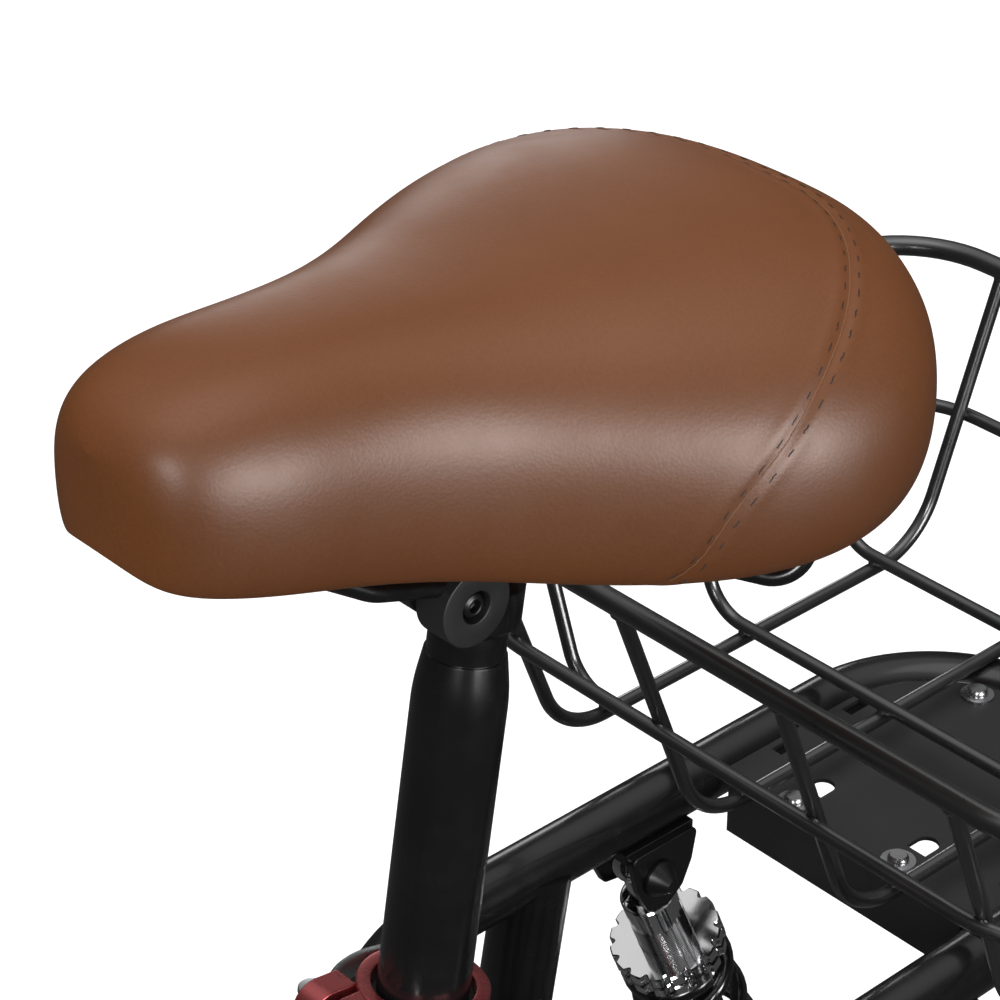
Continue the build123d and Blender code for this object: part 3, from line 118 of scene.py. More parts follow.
def bump_from(nodes, links, heights, distance):
    """A bump from several (height, share) pairs added together."""
    total = None
    for height, share in heights:
        scaled = nodes.new("ShaderNodeMath")
        scaled.operation = "MULTIPLY"
        scaled.inputs[1].default_value = share
        links.new(height, scaled.inputs[0])
        if total is None:
            total = scaled.outputs[0]
            continue
        adding = nodes.new("ShaderNodeMath")
        adding.operation = "ADD"
        links.new(total, adding.inputs[0])
        links.new(scaled.outputs[0], adding.inputs[1])
        total = adding.outputs[0]
    bump = nodes.new("ShaderNodeBump")
    bump.inputs["Distance"].default_value = distance
    bump.inputs["Strength"].default_value = 1.0
    links.new(total, bump.inputs["Height"])
    return bump.outputs["Normal"]


def finish_material(name, dark, light, rough, metal=0.0, coat=0.0, patch=18.0, grain=700.0,
                    bump=0.00002, stretch=(1, 1, 1), specular=0.5, coat_rough=0.05):
    """A surface whose colour, gloss and height all vary a little, at two sizes."""
    material, nodes, links, shader = new_material(name)
    where = nodes.new("ShaderNodeTexCoord").outputs["Object"]
    mapping = nodes.new("ShaderNodeMapping")
    mapping.inputs["Scale"].default_value = stretch
    links.new(where, mapping.inputs["Vector"])
    place = mapping.outputs["Vector"]
    patches = noise_at(nodes, links, where, patch)
    grains = noise_at(nodes, links, place, grain, 3.0)
    links.new(two_colours(nodes, links, patches, dark, light), shader.inputs["Base Color"])
    smears = noise_at(nodes, links, place, patch * 4, 6.0, 0.65)
    links.new(spread(nodes, links, smears, *rough), shader.inputs["Roughness"])
    heights = [(grains, 0.6), (smears, 0.4)]
    links.new(bump_from(nodes, links, heights, bump), shader.inputs["Normal"])
    shader.inputs["Metallic"].default_value = metal
    shader.inputs["Specular IOR Level"].default_value = specular
    shader.inputs["Coat Weight"].default_value = coat
    shader.inputs["Coat Roughness"].default_value = coat_rough
    return material


def leather():
    """Smooth pigmented leather: fine pebbled grain, soft patches, a thin dressing."""
    material, nodes, links, shader = new_material("brown_leather")
    place = nodes.new("ShaderNodeTexCoord").outputs["Object"]
    patches = noise_at(nodes, links, place, 14.0, 3.0)
    flecks = noise_at(nodes, links, place, 900.0, 3.0)
    broad = two_colours(nodes, links, patches, (0.180, 0.0545, 0.0105), (0.196, 0.061, 0.0125))
    fine = two_colours(nodes, links, flecks, (0.86, 0.85, 0.84), (1.0, 1.0, 1.0))
    mix = nodes.new("ShaderNodeMix")
    mix.data_type = "RGBA"
    mix.blend_type = "MULTIPLY"
    mix.inputs["Factor"].default_value = 1.0
    links.new(broad, mix.inputs["A"])
    links.new(fine, mix.inputs["B"])
    links.new(mix.outputs["Result"], shader.inputs["Base Color"])
    cells = nodes.new("ShaderNodeTexVoronoi")
    cells.inputs["Scale"].default_value = 820.0
    cells.inputs["Randomness"].default_value = 0.9
    links.new(place, cells.inputs["Vector"])
    wrinkles = noise_at(nodes, links, place, 240.0, 5.0)
    heights = [(cells.outputs["Distance"], 0.5), (wrinkles, 0.5)]
    links.new(bump_from(nodes, links, heights, 0.00006), shader.inputs["Normal"])
    smears = noise_at(nodes, links, place, 55.0, 5.0)
    links.new(spread(nodes, links, smears, 0.40, 0.46), shader.inputs["Roughness"])
    shader.inputs["Specular IOR Level"].default_value = 0.4
    shader.inputs["Coat Weight"].default_value = 0.05
    shader.inputs["Coat Roughness"].default_value = 0.35
    return material


MATERIALS = {
    "frame_black": finish_material(
        "frame_black", (0.0065, 0.0065, 0.007), (0.0095, 0.0095, 0.01), (0.2, 0.29),
        coat=0.25, grain=420.0, bump=0.00002, specular=0.42, coat_rough=0.12),
    "plate_grey": finish_material(
        "plate_grey", (0.018, 0.018, 0.019), (0.024, 0.024, 0.025), (0.42, 0.55),
        grain=1600.0, bump=0.00004, specular=0.4),
    "wire_black": finish_material(
        "wire_black", (0.0075, 0.0075, 0.008), (0.012, 0.012, 0.012), (0.26, 0.34),
        coat=1.0, grain=500.0, bump=0.00003, specular=0.8, coat_rough=0.2),
    "chrome": finish_material(
        "chrome", (0.72, 0.72, 0.73), (0.8, 0.8, 0.81), (0.05, 0.11), metal=1.0,
        grain=900.0, bump=0.000004),
    "bare_steel": finish_material(
        "bare_steel", (0.42, 0.42, 0.43), (0.53, 0.53, 0.54), (0.22, 0.36), metal=1.0,
        grain=1300.0, bump=0.000012),
    "alloy": finish_material(
        "alloy", (0.5, 0.51, 0.52), (0.6, 0.61, 0.62), (0.24, 0.36), metal=1.0,
        grain=1500.0, bump=0.000014, stretch=(1, 1, 0.15)),
    "black_alloy": finish_material(
        "black_alloy", (0.012, 0.012, 0.013), (0.018, 0.018, 0.019), (0.28, 0.4),
        metal=0.35, grain=1400.0, bump=0.000018),
    "red_alloy": finish_material(
        "red_alloy", (0.42, 0.075, 0.078), (0.48, 0.09, 0.094), (0.24, 0.32), metal=0.85,
        coat=0.5, grain=1500.0, bump=0.000012),
    "brown_leather": leather(),
    "black_plastic": finish_material(
        "black_plastic", (0.011, 0.011, 0.011), (0.017, 0.017, 0.017), (0.42, 0.58),
        grain=1900.0, bump=0.00006),
    "tyre": finish_material(
        "tyre", (0.013, 0.013, 0.0135), (0.021, 0.02, 0.02), (0.62, 0.82),
        grain=1200.0, bump=0.0001, specular=0.35),
    "spring_black": finish_material(
        "spring_black", (0.006, 0.006, 0.0065), (0.01, 0.01, 0.0105), (0.16, 0.24),
        coat=0.6, grain=380.0, bump=0.00003, coat_rough=0.08),
}
THREAD = finish_material("thread", (0.022, 0.012, 0.008), (0.04, 0.024, 0.016), (0.6, 0.8),
                         grain=2600.0, bump=0.00008)
SEAM_EDGE = finish_material("seam_edge", (0.21, 0.078, 0.024), (0.25, 0.095, 0.032), (0.5, 0.62),
                            grain=1500.0, bump=0.00005)

for node in frame["nodes"].values():
    for index, slot in enumerate(node.material_slots):
        name = slot.material.name.split(".")[0] if slot.material else ""
        slot.material = MATERIALS.get(name, MATERIALS["frame_black"])


# ------------------------------------------------------------------ mesh tools
def crossways(axis):
    """Two directions that are square to an axis and to each other."""
    guide = X_AXIS if abs(axis.x) < 0.9 else Y_AXIS
    across = (guide - axis * axis.dot(guide)).normalized()
    return across, axis.cross(across)


class Shape:
    """Points and faces that grow ring by ring into one mesh, in metres."""

    def __init__(self):
        self.points = []
        self.faces = []

    def join(self, rings, loop=False, caps=True):
        """Joins rings of equal length. With loop, the last ring meets the first."""
        first = len(self.points)
        size = len(rings[0])
        for ring in rings:
            self.points.extend(ring)
        for i in range(len(rings) if loop else len(rings) - 1):
            low = first + i * size
            high = first + (i + 1) % len(rings) * size
            for j in range(size):
                k = (j + 1) % size
                self.faces.append((low + j, low + k, high + k, high + j))
        if caps and not loop:
            last = first + (len(rings) - 1) * size
            self.faces.append(tuple(range(first + size - 1, first - 1, -1)))
            self.faces.append(tuple(range(last, last + size)))

    def tube(self, line, radius, sides=18, loop=False, flat=1.0, upright=None):
        """A round or flattened bar along a line. radius is in mm, one or one per point."""
        count = len(line)
        radii = radius if isinstance(radius, (list, tuple)) else [radius] * count
        rings = []
        across = None
        for i, point in enumerate(line):
            after = line[(i + 1) % count] if loop or i < count - 1 else point
            before = line[i - 1] if loop or i > 0 else point
            run = (after - before).normalized()
            if upright is not None:
                across = upright.cross(run).normalized()
            elif across is None:
                guide = Z_AXIS if abs(run.z) < 0.9 else X_AXIS
                across = guide.cross(run).normalized()
            else:
                across = (across - run * across.dot(run)).normalized()
            up = run.cross(across)
            ring = []
            for j in range(sides):
                turn = 2 * pi * j / sides
                offset = across * cos(turn) + up * sin(turn) * flat
                ring.append(point + offset * radii[i] * MM)
            rings.append(ring)
        self.join(rings, loop)

    def lathe(self, origin, axis, outline, sides=64):
        """Turns (distance, radius) points, in mm, about an axis."""
        axis = Vector(axis).normalized()
        across, up = crossways(axis)
        rings = []
        for along, radius in outline:
            centre = origin + axis * along * MM
            reach = max(radius, 0.02) * MM
            turns = [2 * pi * j / sides for j in range(sides)]
            rings.append([centre + (across * cos(t) + up * sin(t)) * reach for t in turns])
        self.join(rings)

    def ring(self, origin, axis, outline, sides=64):
        """A closed ring turned from a closed (distance, radius) outline."""
        axis = Vector(axis).normalized()
        across, up = crossways(axis)
        rings = []
        for j in range(sides):
            turn = 2 * pi * j / sides
            out = across * cos(turn) + up * sin(turn)
            rings.append([origin + (axis * a + out * r) * MM for a, r in outline])
        self.join(rings, loop=True)

    def slab(self, origin, x_dir, y_dir, outline, thickness):
        """A flat plate from (x, y) points in mm, thickened along x_dir cross y_dir."""
        x_dir = Vector(x_dir).normalized()
        y_dir = Vector(y_dir).normalized()
        normal = x_dir.cross(y_dir)
        face = [origin + (x_dir * x + y_dir * y) * MM for x, y in outline]
        self.join([face, [point + normal * thickness * MM for point in face]])

    def ball(self, centre, radius, sides=20, squash=1.0, axis=Z_AXIS):
        """A ball, or one flattened along its axis when squash is below 1."""
        outline = []
        steps = 12
        for i in range(steps + 1):
            turn = pi * i / steps
            outline.append((-cos(turn) * radius * squash, sin(turn) * radius))
        self.lathe(centre, axis, outline, sides)


def arc_corner(before, corner, after, radius, steps):
    """Points on the arc of that radius that rounds one corner of a line."""
    back = (before - corner).normalized()
    on = (after - corner).normalized()
    half = acos(max(-1.0, min(1.0, back.dot(on)))) / 2
    if half > pi / 2 - 0.01:
        return [corner]
    reach = radius / tan(half)
    middle = (back + on).normalized()
    centre = corner + middle * radius / sin(half)
    start = corner + back * reach - centre
    end = corner + on * reach - centre
    sweep = start.angle(end)
    points = []
    for i in range(steps + 1):
        share = i / steps
        blend = start * sin((1 - share) * sweep) + end * sin(share * sweep)
        points.append(centre + blend / sin(sweep))
    return points


def rounded(points, radii, loop=False, steps=10):
    """A line in metres, or a flat outline in mm, with its corners rounded by radii in mm."""
    points = [Vector(p) for p in points]
    count = len(points)
    line = []
    for i, point in enumerate(points):
        if not loop and i in (0, count - 1):
            line.append(point)
            continue
        radius = radii[i] if loop else radii[i - 1]
        corner = (points[i - 1], point, points[(i + 1) % count])
        if len(point) == 2:
            lifted = [Vector((*p, 0)) for p in corner]
            line.extend(p.to_2d() for p in arc_corner(*lifted, radius, steps))
        else:
            line.extend(arc_corner(*corner, radius * MM, steps))
    return line


def soft(outline, radius, loop=False, steps=4):
    """An outline in mm with its corners rounded, by one radius or by one for each corner."""
    count = len(outline) if loop else len(outline) - 2
    radii = radius if isinstance(radius, tuple) else [radius] * count
    return [tuple(p) for p in rounded(outline, radii, loop, steps)]


def hexagon(reach):
    """A nut's outline, with its corners at that reach from the middle."""
    return [(cos(i * pi / 3) * reach, sin(i * pi / 3) * reach) for i in range(6)]


def piece(name, shape, material, body, replaces=(), bevel=0.0, sharp=35.0):
    """Makes an object of a shape, gives it its finish and lets it ride on a body."""
    mesh = bpy.data.meshes.new(name)
    mesh.from_pydata(shape.points, [], shape.faces)
    mesh.update()
    obj = bpy.data.objects.new(name, mesh)
    bpy.context.collection.objects.link(obj)
    mesh.materials.append(MATERIALS[material] if isinstance(material, str) else material)
    mesh.polygons.foreach_set("use_smooth", [True] * len(mesh.polygons))
    mesh.set_sharp_from_angle(angle=radians(sharp))
    if bevel:
        rounding = obj.modifiers.new("edges", "BEVEL")
        rounding.width = bevel * MM
        rounding.segments = 3
        rounding.limit_method = "ANGLE"
        rounding.angle_limit = radians(40)
        rounding.harden_normals = True
    if replaces:
        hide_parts(*replaces)
    if body:
        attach(obj, body)
    return obj


# -------------------------------------------------------------------- camera
# It stands ahead of the seat and to its left. Angles are in degrees, the lens in mm.
CAMERA_AT = seat(667.88, -587.13, 609.86)
CAMERA_AZIMUTH = 47.84
CAMERA_ELEVATION = 31.17
CAMERA_LENS = 113.09


def add_camera():
    data = bpy.data.cameras.new("camera")
    data.lens = CAMERA_LENS
    data.sensor_width = 36.0
    data.clip_start = 0.05
    data.clip_end = 200.0
    camera = bpy.data.objects.new("camera", data)
    bpy.context.collection.objects.link(camera)
    turn, tilt = radians(CAMERA_AZIMUTH), radians(CAMERA_ELEVATION)
    forward = Vector((-sin(turn) * cos(tilt), cos(turn) * cos(tilt), -sin(tilt)))
    facing = forward.to_track_quat("-Z", "Y").to_matrix().to_4x4()
    camera.matrix_world = Matrix.Translation(CAMERA_AT) @ facing
    bpy.context.scene.camera = camera


add_camera()


# -------------------------------------------------------------------- saddle
# One row per cross section: y, half width, low edge, top, height of the widest line
SADDLE_ROWS = [
    (-145, 13, 113, 146, 131),
    (-140, 28, 107, 156, 130),
    (-127, 38, 103, 163, 129),
    (-102, 45, 97, 166, 126),
    (-72, 47, 89, 164, 121),
    (-38, 55, 79, 161, 114),
    (-4, 74, 70, 158, 106),
    (30, 95, 65, 158, 101),
    (64, 109, 64, 158, 99),
    (94, 110, 67, 157, 104),
    (118, 101, 74, 154, 111),
    (138, 81, 83, 149, 116),
    (152, 55, 92, 142, 119),
    (159, 25, 103, 134, 121),
]


def saddle_profile(half, low, top, wide):
    """Half a cross section as (x, z), from the lip under the edge up to the crest."""
    rise = top - wide
    drop = wide - low
    return [
        (0.30 * half, low + 5),
        (0.74 * half, low + 4),
        (0.86 * half, low - 1),
        (0.975 * half, low + 0.12 * drop),
        (1.03 * half, low + 0.55 * drop),
        (1.02 * half, wide + 0.16 * rise),
        (0.93 * half, wide + 0.52 * rise),
        (0.75 * half, wide + 0.83 * rise),
        (0.48 * half, wide + 1.0 * rise),
        (0.17 * half, wide + 1.04 * rise),
    ]


def saddle_cage():
    """The coarse cage whose subdivision is the saddle's smooth cover."""
    points, faces = [], []
    size = 0
    for y, half, low, top, wide in SADDLE_ROWS:
        profile = saddle_profile(half, low, top, wide)
        ring = profile + [(-x, z) for x, z in reversed(profile)]
        size = len(ring)
        points.extend(seat(x, y, z) for x, z in ring)
    for i in range(len(SADDLE_ROWS) - 1):
        low, high = i * size, (i + 1) * size
        for j in range(size):
            k = (j + 1) % size
            faces.append((low + j, high + j, high + k, low + k))
    for start, flip in ((0, False), ((len(SADDLE_ROWS) - 1) * size, True)):
        for j in range(size // 2 - 1):
            quad = (start + j, start + j + 1, start + size - 2 - j, start + size - 1 - j)
            faces.append(quad[::-1] if flip else quad)
    return points, faces


def refined(points, faces, levels):
    """The mesh after that many Catmull-Clark subdivisions."""
    mesh = bpy.data.meshes.new("cage")
    mesh.from_pydata(points, [], faces)
    obj = bpy.data.objects.new("cage", mesh)
    bpy.context.collection.objects.link(obj)
    modifier = obj.modifiers.new("smooth", "SUBSURF")
    modifier.levels = levels
    depsgraph = bpy.context.evaluated_depsgraph_get()
    fine = bpy.data.meshes.new_from_object(obj.evaluated_get(depsgraph))
    bpy.data.objects.remove(obj)
    return fine


# One side of the seam on the saddle's cover, from its low edge round to the back
SEAM_POINTS = [
    (84, 15, 71), (90, 21, 81), (96.5, 31, 100), (100, 49, 119), (96, 68, 133),
    (87, 87, 143), (72, 105, 148.5), (56, 119, 150.4), (37, 130, 150), (18, 135.5, 150),
]
SEAM_STEP = 1.2
SEAM_REACH = 9.0
SEAM_SINK = 0.55
SEAM_SINK_WIDTH = 1.5
SEAM_SWELL = 0.30
SEAM_SWELL_PLACE = 4.0
SEAM_SWELL_WIDTH = 2.2
STITCH = 4.8
STITCH_GAP = 4.6
STITCH_ROWS = (-1.9, 3.1)
THREAD_RADIUS = 0.24
SEAM_RADIUS = 0.3


def smooth_line(points, step):
    """A Catmull-Rom line through the points, sampled every step in mm."""
    ends = [points[0] * 2 - points[1], *points, points[-1] * 2 - points[-2]]
    line = []
    for i in range(1, len(ends) - 2):
        a, b, c, d = ends[i - 1:i + 3]
        count = max(2, int((c - b).length / (step * MM)))
        for j in range(count):
            t = j / count
            line.append(0.5 * ((b * 2) + (c - a) * t + (a * 2 - b * 5 + c * 4 - d) * t * t
                               + (b * 3 - a - c * 3 + d) * t ** 3))
    line.append(points[-1])
    return line


def on_surface(tree, line):
    """Each point of a line moved to the nearest place on the cover, with its normal."""
    placed = []
    for point in line:
        spot, normal, _, _ = tree.find_nearest(point)
        placed.append((spot, normal))
    return placed


def shifted(tree, placed, offset):
    """The line beside a line on the cover, offset in mm along the surface."""
    line = []
    for i, (spot, normal) in enumerate(placed):
        after = placed[min(i + 1, len(placed) - 1)][0]
        before = placed[max(i - 1, 0)][0]
        across = (after - before).cross(normal).normalized()
        line.append(spot + across * offset * MM)
    return on_surface(tree, line)


def surface_tree(mesh):
    """A search tree that finds the nearest place on a mesh."""
    points = [vertex.co for vertex in mesh.vertices]
    return BVHTree.FromPolygons(points, [face.vertices for face in mesh.polygons])


def add_saddle():
    """The leather cover, drawn in along its seam, with the seam's edge and two rows of thread."""
    mesh = refined(*saddle_cage(), 4)
    tree = surface_tree(mesh)
    right = [seat(-x, y, z) for x, y, z in reversed(SEAM_POINTS)]
    left = [seat(*p) for p in SEAM_POINTS]
    seam = on_surface(tree, smooth_line(left + right, SEAM_STEP))
    guide = KDTree(len(seam))
    for i, (spot, _) in enumerate(seam):
        guide.insert(spot, i)
    guide.balance()
    for vertex in mesh.vertices:
        _, _, distance = guide.find(vertex.co)
        away = distance / MM
        if away < SEAM_REACH:
            swell = SEAM_SWELL * exp(-((away - SEAM_SWELL_PLACE) / SEAM_SWELL_WIDTH) ** 2)
            sink = SEAM_SINK * exp(-(away / SEAM_SINK_WIDTH) ** 2)
            vertex.co += vertex.normal * (swell - sink) * MM
    cover = bpy.data.objects.new("saddle_skin", mesh)
    bpy.context.collection.objects.link(cover)
    mesh.materials.append(MATERIALS["brown_leather"])
    mesh.polygons.foreach_set("use_smooth", [True] * len(mesh.polygons))
    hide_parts("saddle_cover")
    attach(cover, "seat")
    tree = surface_tree(mesh)
    seam = on_surface(tree, [spot for spot, _ in seam])
    lip = Shape()
    lip.tube([spot - normal * 0.12 * MM for spot, normal in seam], SEAM_RADIUS, 8)
    piece("saddle_seam", lip, SEAM_EDGE, "seat")
    thread = Shape()
    for offset in STITCH_ROWS:
        row = shifted(tree, seam, offset)
        add_stitches(thread, row)
    piece("saddle_stitches", thread, THREAD, "seat")


def add_stitches(shape, row):
    """Short threads along a row, each dipping into the leather at both ends."""
    travelled = 0.0
    stitch = []
    for i in range(1, len(row)):
        travelled += (row[i][0] - row[i - 1][0]).length / MM
        phase = travelled % (STITCH + STITCH_GAP)
        if phase < STITCH:
            depth = 0.06 - 0.4 * (2 * phase / STITCH - 1) ** 4
            stitch.append(row[i][0] + row[i][1] * depth * MM)
            continue
        if len(stitch) > 2:
            shape.tube(stitch, THREAD_RADIUS, 8)
        stitch = []


add_saddle()


# The pan's width as a share of the cover's, and its height above the cover's low edge
PAN_SHARE = 0.74
PAN_RISE = 6.5
PAN_THICK = 4.0
# One rail from its front end to its tail, as places and the radii of its bends
RAIL_PATH = [
    (6, -122, 110), (9, -98, 96), (19, -54, 68), (19, -26, 58), (19, 30, 57),
    (77, 80, 42), (80, 97, 72),
]
RAIL_BENDS = [30, 24, 20, 28, 12]
RAIL_RADIUS = 3.5


def add_saddle_underside():
    """The pan just inside the cover's edge, and the two rails with their tails."""
    pan = Shape()
    rings = []
    for y, half, low, _, _ in SADDLE_ROWS[2:-2]:
        wide, level = half * PAN_SHARE, low + PAN_RISE
        roof = level + PAN_THICK
        corners = [(-wide, level), (wide, level), (wide, roof), (-wide, roof)]
        rings.append([seat(x, y, z) for x, z in corners])
    pan.join(rings)
    piece("saddle_pan", pan, "black_plastic", "seat", ["saddle_base"])
    rails = Shape()
    for side in SIDES.values():
        points = [seat(side * x, y, z) for x, y, z in RAIL_PATH]
        rails.tube(rounded(points, RAIL_BENDS), RAIL_RADIUS, 20)
    piece("saddle_rods", rails, "frame_black", "seat", ["saddle_rails"])


add_saddle_underside()


# --------------------------------------------------------------- post and clamps
POST_RADIUS = 16.95
POST_FOOT = -330
NECK_RADIUS = 13.9
NECK_TOP = 40


def add_post():
    """The post with its swaged neck and the step where the neck begins."""
    shape = Shape()
    outline = [
        (POST_FOOT, 14.4), (POST_FOOT, POST_RADIUS), (-3, POST_RADIUS), (11.6, 14.6),
        (12, NECK_RADIUS), (NECK_TOP, NECK_RADIUS), (NECK_TOP, 11.6),
    ]
    shape.lathe(post(0), POST_UP, soft(outline, (0.6, 80, 0.3, 0.2, 0.8), steps=6), 96)
    piece("seat_post_bar", shape, "frame_black", "seat", ["seat_post"])


HEAD_BOLT = seat(0, -16, 49)
DRUM_HALF = 12.0
CHEEK_FACE = 26.0
CHEEK_RADIUS = 14.6
CHEEK_BORE = 5.9
CHEEK_BORE_DEPTH = 5


def add_saddle_clamp():
    """Collar, middle block, two flat cheeks on the cross bolt, and their screw."""
    body = Shape()
    body.lathe(post(0), POST_UP, soft([(22.5, 14.1), (26, 17.6), (40, 17.6), (42, 14.1)], 0.8), 72)
    block = soft([(-36, 62), (-32, 49), (-20, 36.5), (-8, 27), (10, 31), (16, 62)], 2.5, True)
    body.slab(seat(-DRUM_HALF, 0, 0), Y_AXIS, Z_AXIS, block, 2 * DRUM_HALF)
    piece("saddle_clamp_core", body, "frame_black", "seat", bevel=0.5)
    cheeks = Shape()
    for side in SIDES.values():
        start = HEAD_BOLT + X_AXIS * side * DRUM_HALF * MM
        face = CHEEK_FACE - DRUM_HALF
        floor = face - CHEEK_BORE_DEPTH
        outline = [(0, 8), (0, CHEEK_RADIUS), (face, CHEEK_RADIUS)]
        outline += [(face, CHEEK_BORE), (floor, CHEEK_BORE), (floor, 0)]
        cheeks.lathe(start, X_AXIS * side, [(0, 0), *soft(outline, 0.5)], 80)
    piece("saddle_clamp_cheeks", cheeks, "plate_grey", "seat", ["saddle_clamp"])
    screw = Shape()
    socket = [
        (21, 0), (21, 5.2), (22.4, 5.2), (24.6, 4.4), (25.4, 3.1), (25.2, 2.3), (22.4, 2.2),
        (22.2, 0),
    ]
    screw.lathe(HEAD_BOLT, X_AXIS, soft(socket, 0.3), 60)
    screw.slab(HEAD_BOLT - X_AXIS * CHEEK_FACE * MM, Z_AXIS, Y_AXIS, hexagon(7.4), 5.5)
    piece("saddle_clamp_screw", screw, "black_alloy", "seat", ["saddle_clamp_bolt"], bevel=0.4)


CLAMP_LEVEL = 134.0
CLAMP_HALF = 10.0
CLAMP_BORE = 19.05
CLAMP_RADIUS = 24.5
EAR_AHEAD = 31.0
EAR_RADIUS = 9.5
EAR_ROOT = 20.5
EAR_HALF = 13.0
SLIT_HALF = 2.0
CAM_X = -23.0
CAM_RADIUS = 6.4
LEVER_RADIUS = 33.2
LEVER_START = 237
LEVER_SWEEP = 86
LEVER_STEPS = 36


def add_seat_clamp():
    """The split ring with its ears, the skewer's nut, and the lever curled round."""
    ring = Shape()
    middle = post(CLAMP_LEVEL)
    outline = [(-CLAMP_HALF, CLAMP_BORE), (CLAMP_HALF, CLAMP_BORE)]
    outline += [(CLAMP_HALF, CLAMP_RADIUS), (-CLAMP_HALF, CLAMP_RADIUS)]
    ring.ring(middle, POST_UP, soft(outline, 0.7, True), 96)
    ahead = (post(0, 0, 1) - post(0)).normalized()
    profile = []
    for i in range(13):
        turn = pi * i / 12 - pi / 2
        profile.append((EAR_AHEAD + EAR_RADIUS * cos(turn), EAR_RADIUS * sin(turn)))
    profile = [(EAR_ROOT, -EAR_RADIUS), *profile, (EAR_ROOT, EAR_RADIUS)]
    for start in (SLIT_HALF, -EAR_HALF):
        ring.slab(middle + X_AXIS * start * MM, ahead, POST_UP, profile, EAR_HALF - SLIT_HALF)
    piece("seat_clamp_ring", ring, "red_alloy", "frame", ["seat_clamp"], bevel=0.6)
    pin = Shape()
    line = middle + ahead * EAR_AHEAD * MM
    outline = [(-19, 0), (-19, 3), (EAR_HALF, 3), (EAR_HALF, 6.4), (EAR_HALF + 5, 7)]
    outline += [(EAR_HALF + 8, 5), (EAR_HALF + 8, 0)]
    pin.lathe(line, X_AXIS, soft(outline, 0.8), 48)
    piece("seat_clamp_skewer", pin, "chrome", "frame", ["seat_clamp_bolt"])
    lever = Shape()
    cam = line + X_AXIS * CAM_X * MM
    for low, high in ((-6, -3.5), (3.5, 6)):
        cheek = [(low, 0), (low, CAM_RADIUS), (high, CAM_RADIUS), (high, 0)]
        lever.lathe(cam, POST_UP, soft(cheek, 0.6), 40)
    lever.lathe(cam, POST_UP, [(-3.6, 0), (-3.6, 2.3), (3.6, 2.3), (3.6, 0)], 24)
    blade, widths = [], []
    for i in range(LEVER_STEPS + 1):
        turn = radians(LEVER_START - LEVER_SWEEP * i / LEVER_STEPS)
        blade.append(middle + (X_AXIS * cos(turn) - ahead * sin(turn)) * LEVER_RADIUS * MM)
        widths.append(2.6 - 0.5 * i / LEVER_STEPS)
    lever.tube(blade, widths, 20, flat=2.25, upright=POST_UP)
    piece("seat_clamp_blade", lever, "alloy", "clamp_lever", ["seat_clamp_lever"])


add_post()
add_saddle_clamp()
add_seat_clamp()


# -------------------------------------------------------------------- basket
RAIL_Z = -183.5
RIM_Z = -40.0
RIM_HALF = 186.5
RIM_FRONT = 115.6
RIM_REAR = 439.0
RIM_CORNER = 50.0
HOOP_Z = -107.0
WIRE = 3.175
RIM_WIRE = 4.75
FLOOR_Z = RAIL_Z + 12.7 + WIRE
LATERAL_Z = FLOOR_Z + 2 * WIRE - 0.9
FLOOR_FRONT = 165.0
FLOOR_REAR = 392.4
FLOOR_HALF = 141.5
HOOP_OUT = 5.2
LONG_XS = (-124.0, -41.5, 41.5, 124.0)
LATERAL_YS = (191.5, 277.5, 363.5)


def wall(low, high, z, floor_z):
    """How far a leaning wall stands at height z, between the floor and the rim."""
    return low + (high - low) * (z - floor_z) / (RIM_Z - floor_z)


def wire_loop(half, front, rear, z):
    """A level rectangle of wire with rounded corners."""
    corners = [(half, front), (half, rear), (-half, rear), (-half, front)]
    return rounded([seat(x, y, z) for x, y in corners], [RIM_CORNER] * 4, True, 14)


def add_basket():
    """The rim, the hoop outside the walls, the wires both ways, and a weld at each crossing."""
    shape = Shape()
    shape.tube(wire_loop(RIM_HALF, RIM_FRONT, RIM_REAR, RIM_Z), RIM_WIRE, 24, True)
    hoop_front = wall(FLOOR_FRONT, RIM_FRONT, HOOP_Z, FLOOR_Z) - HOOP_OUT
    hoop_rear = wall(FLOOR_REAR, RIM_REAR, HOOP_Z, FLOOR_Z) + HOOP_OUT
    hoop_half = wall(FLOOR_HALF, RIM_HALF, HOOP_Z, LATERAL_Z) + HOOP_OUT
    shape.tube(wire_loop(hoop_half, hoop_front, hoop_rear, HOOP_Z), WIRE, 20, True)
    for x in LONG_XS:
        corners = [seat(x, RIM_FRONT, RIM_Z), seat(x, FLOOR_FRONT, FLOOR_Z)]
        corners += [seat(x, FLOOR_REAR, FLOOR_Z), seat(x, RIM_REAR, RIM_Z)]
        shape.tube(rounded(corners, [37, 37], steps=16), WIRE, 20)
    for y in LATERAL_YS:
        corners = [seat(RIM_HALF, y, RIM_Z), seat(FLOOR_HALF, y, LATERAL_Z)]
        corners += [seat(-FLOOR_HALF, y, LATERAL_Z), seat(-RIM_HALF, y, RIM_Z)]
        shape.tube(rounded(corners, [22, 22], steps=16), WIRE, 20)
    drop = RIM_WIRE * 0.8
    for x in LONG_XS:
        for top, hoop, out in ((RIM_FRONT, hoop_front, 1), (RIM_REAR, hoop_rear, -1)):
            add_weld(shape, seat(x, top + out * 0.8, RIM_Z - drop), 3.9)
            add_weld(shape, seat(x, hoop + out * 2.6, HOOP_Z), 3.1)
        for y in LATERAL_YS:
            add_weld(shape, seat(x, y, (FLOOR_Z + LATERAL_Z) / 2), 3.3)
    for y in LATERAL_YS:
        for side in SIDES.values():
            add_weld(shape, seat(side * (RIM_HALF - 0.8), y, RIM_Z - drop), 3.9)
            add_weld(shape, seat(side * (hoop_half - 2.6), y, HOOP_Z), 3.1)
    nodes = ["basket_floor", "basket_ends", "basket_sides"]
    piece("basket_wires", shape, "wire_black", "frame", nodes)


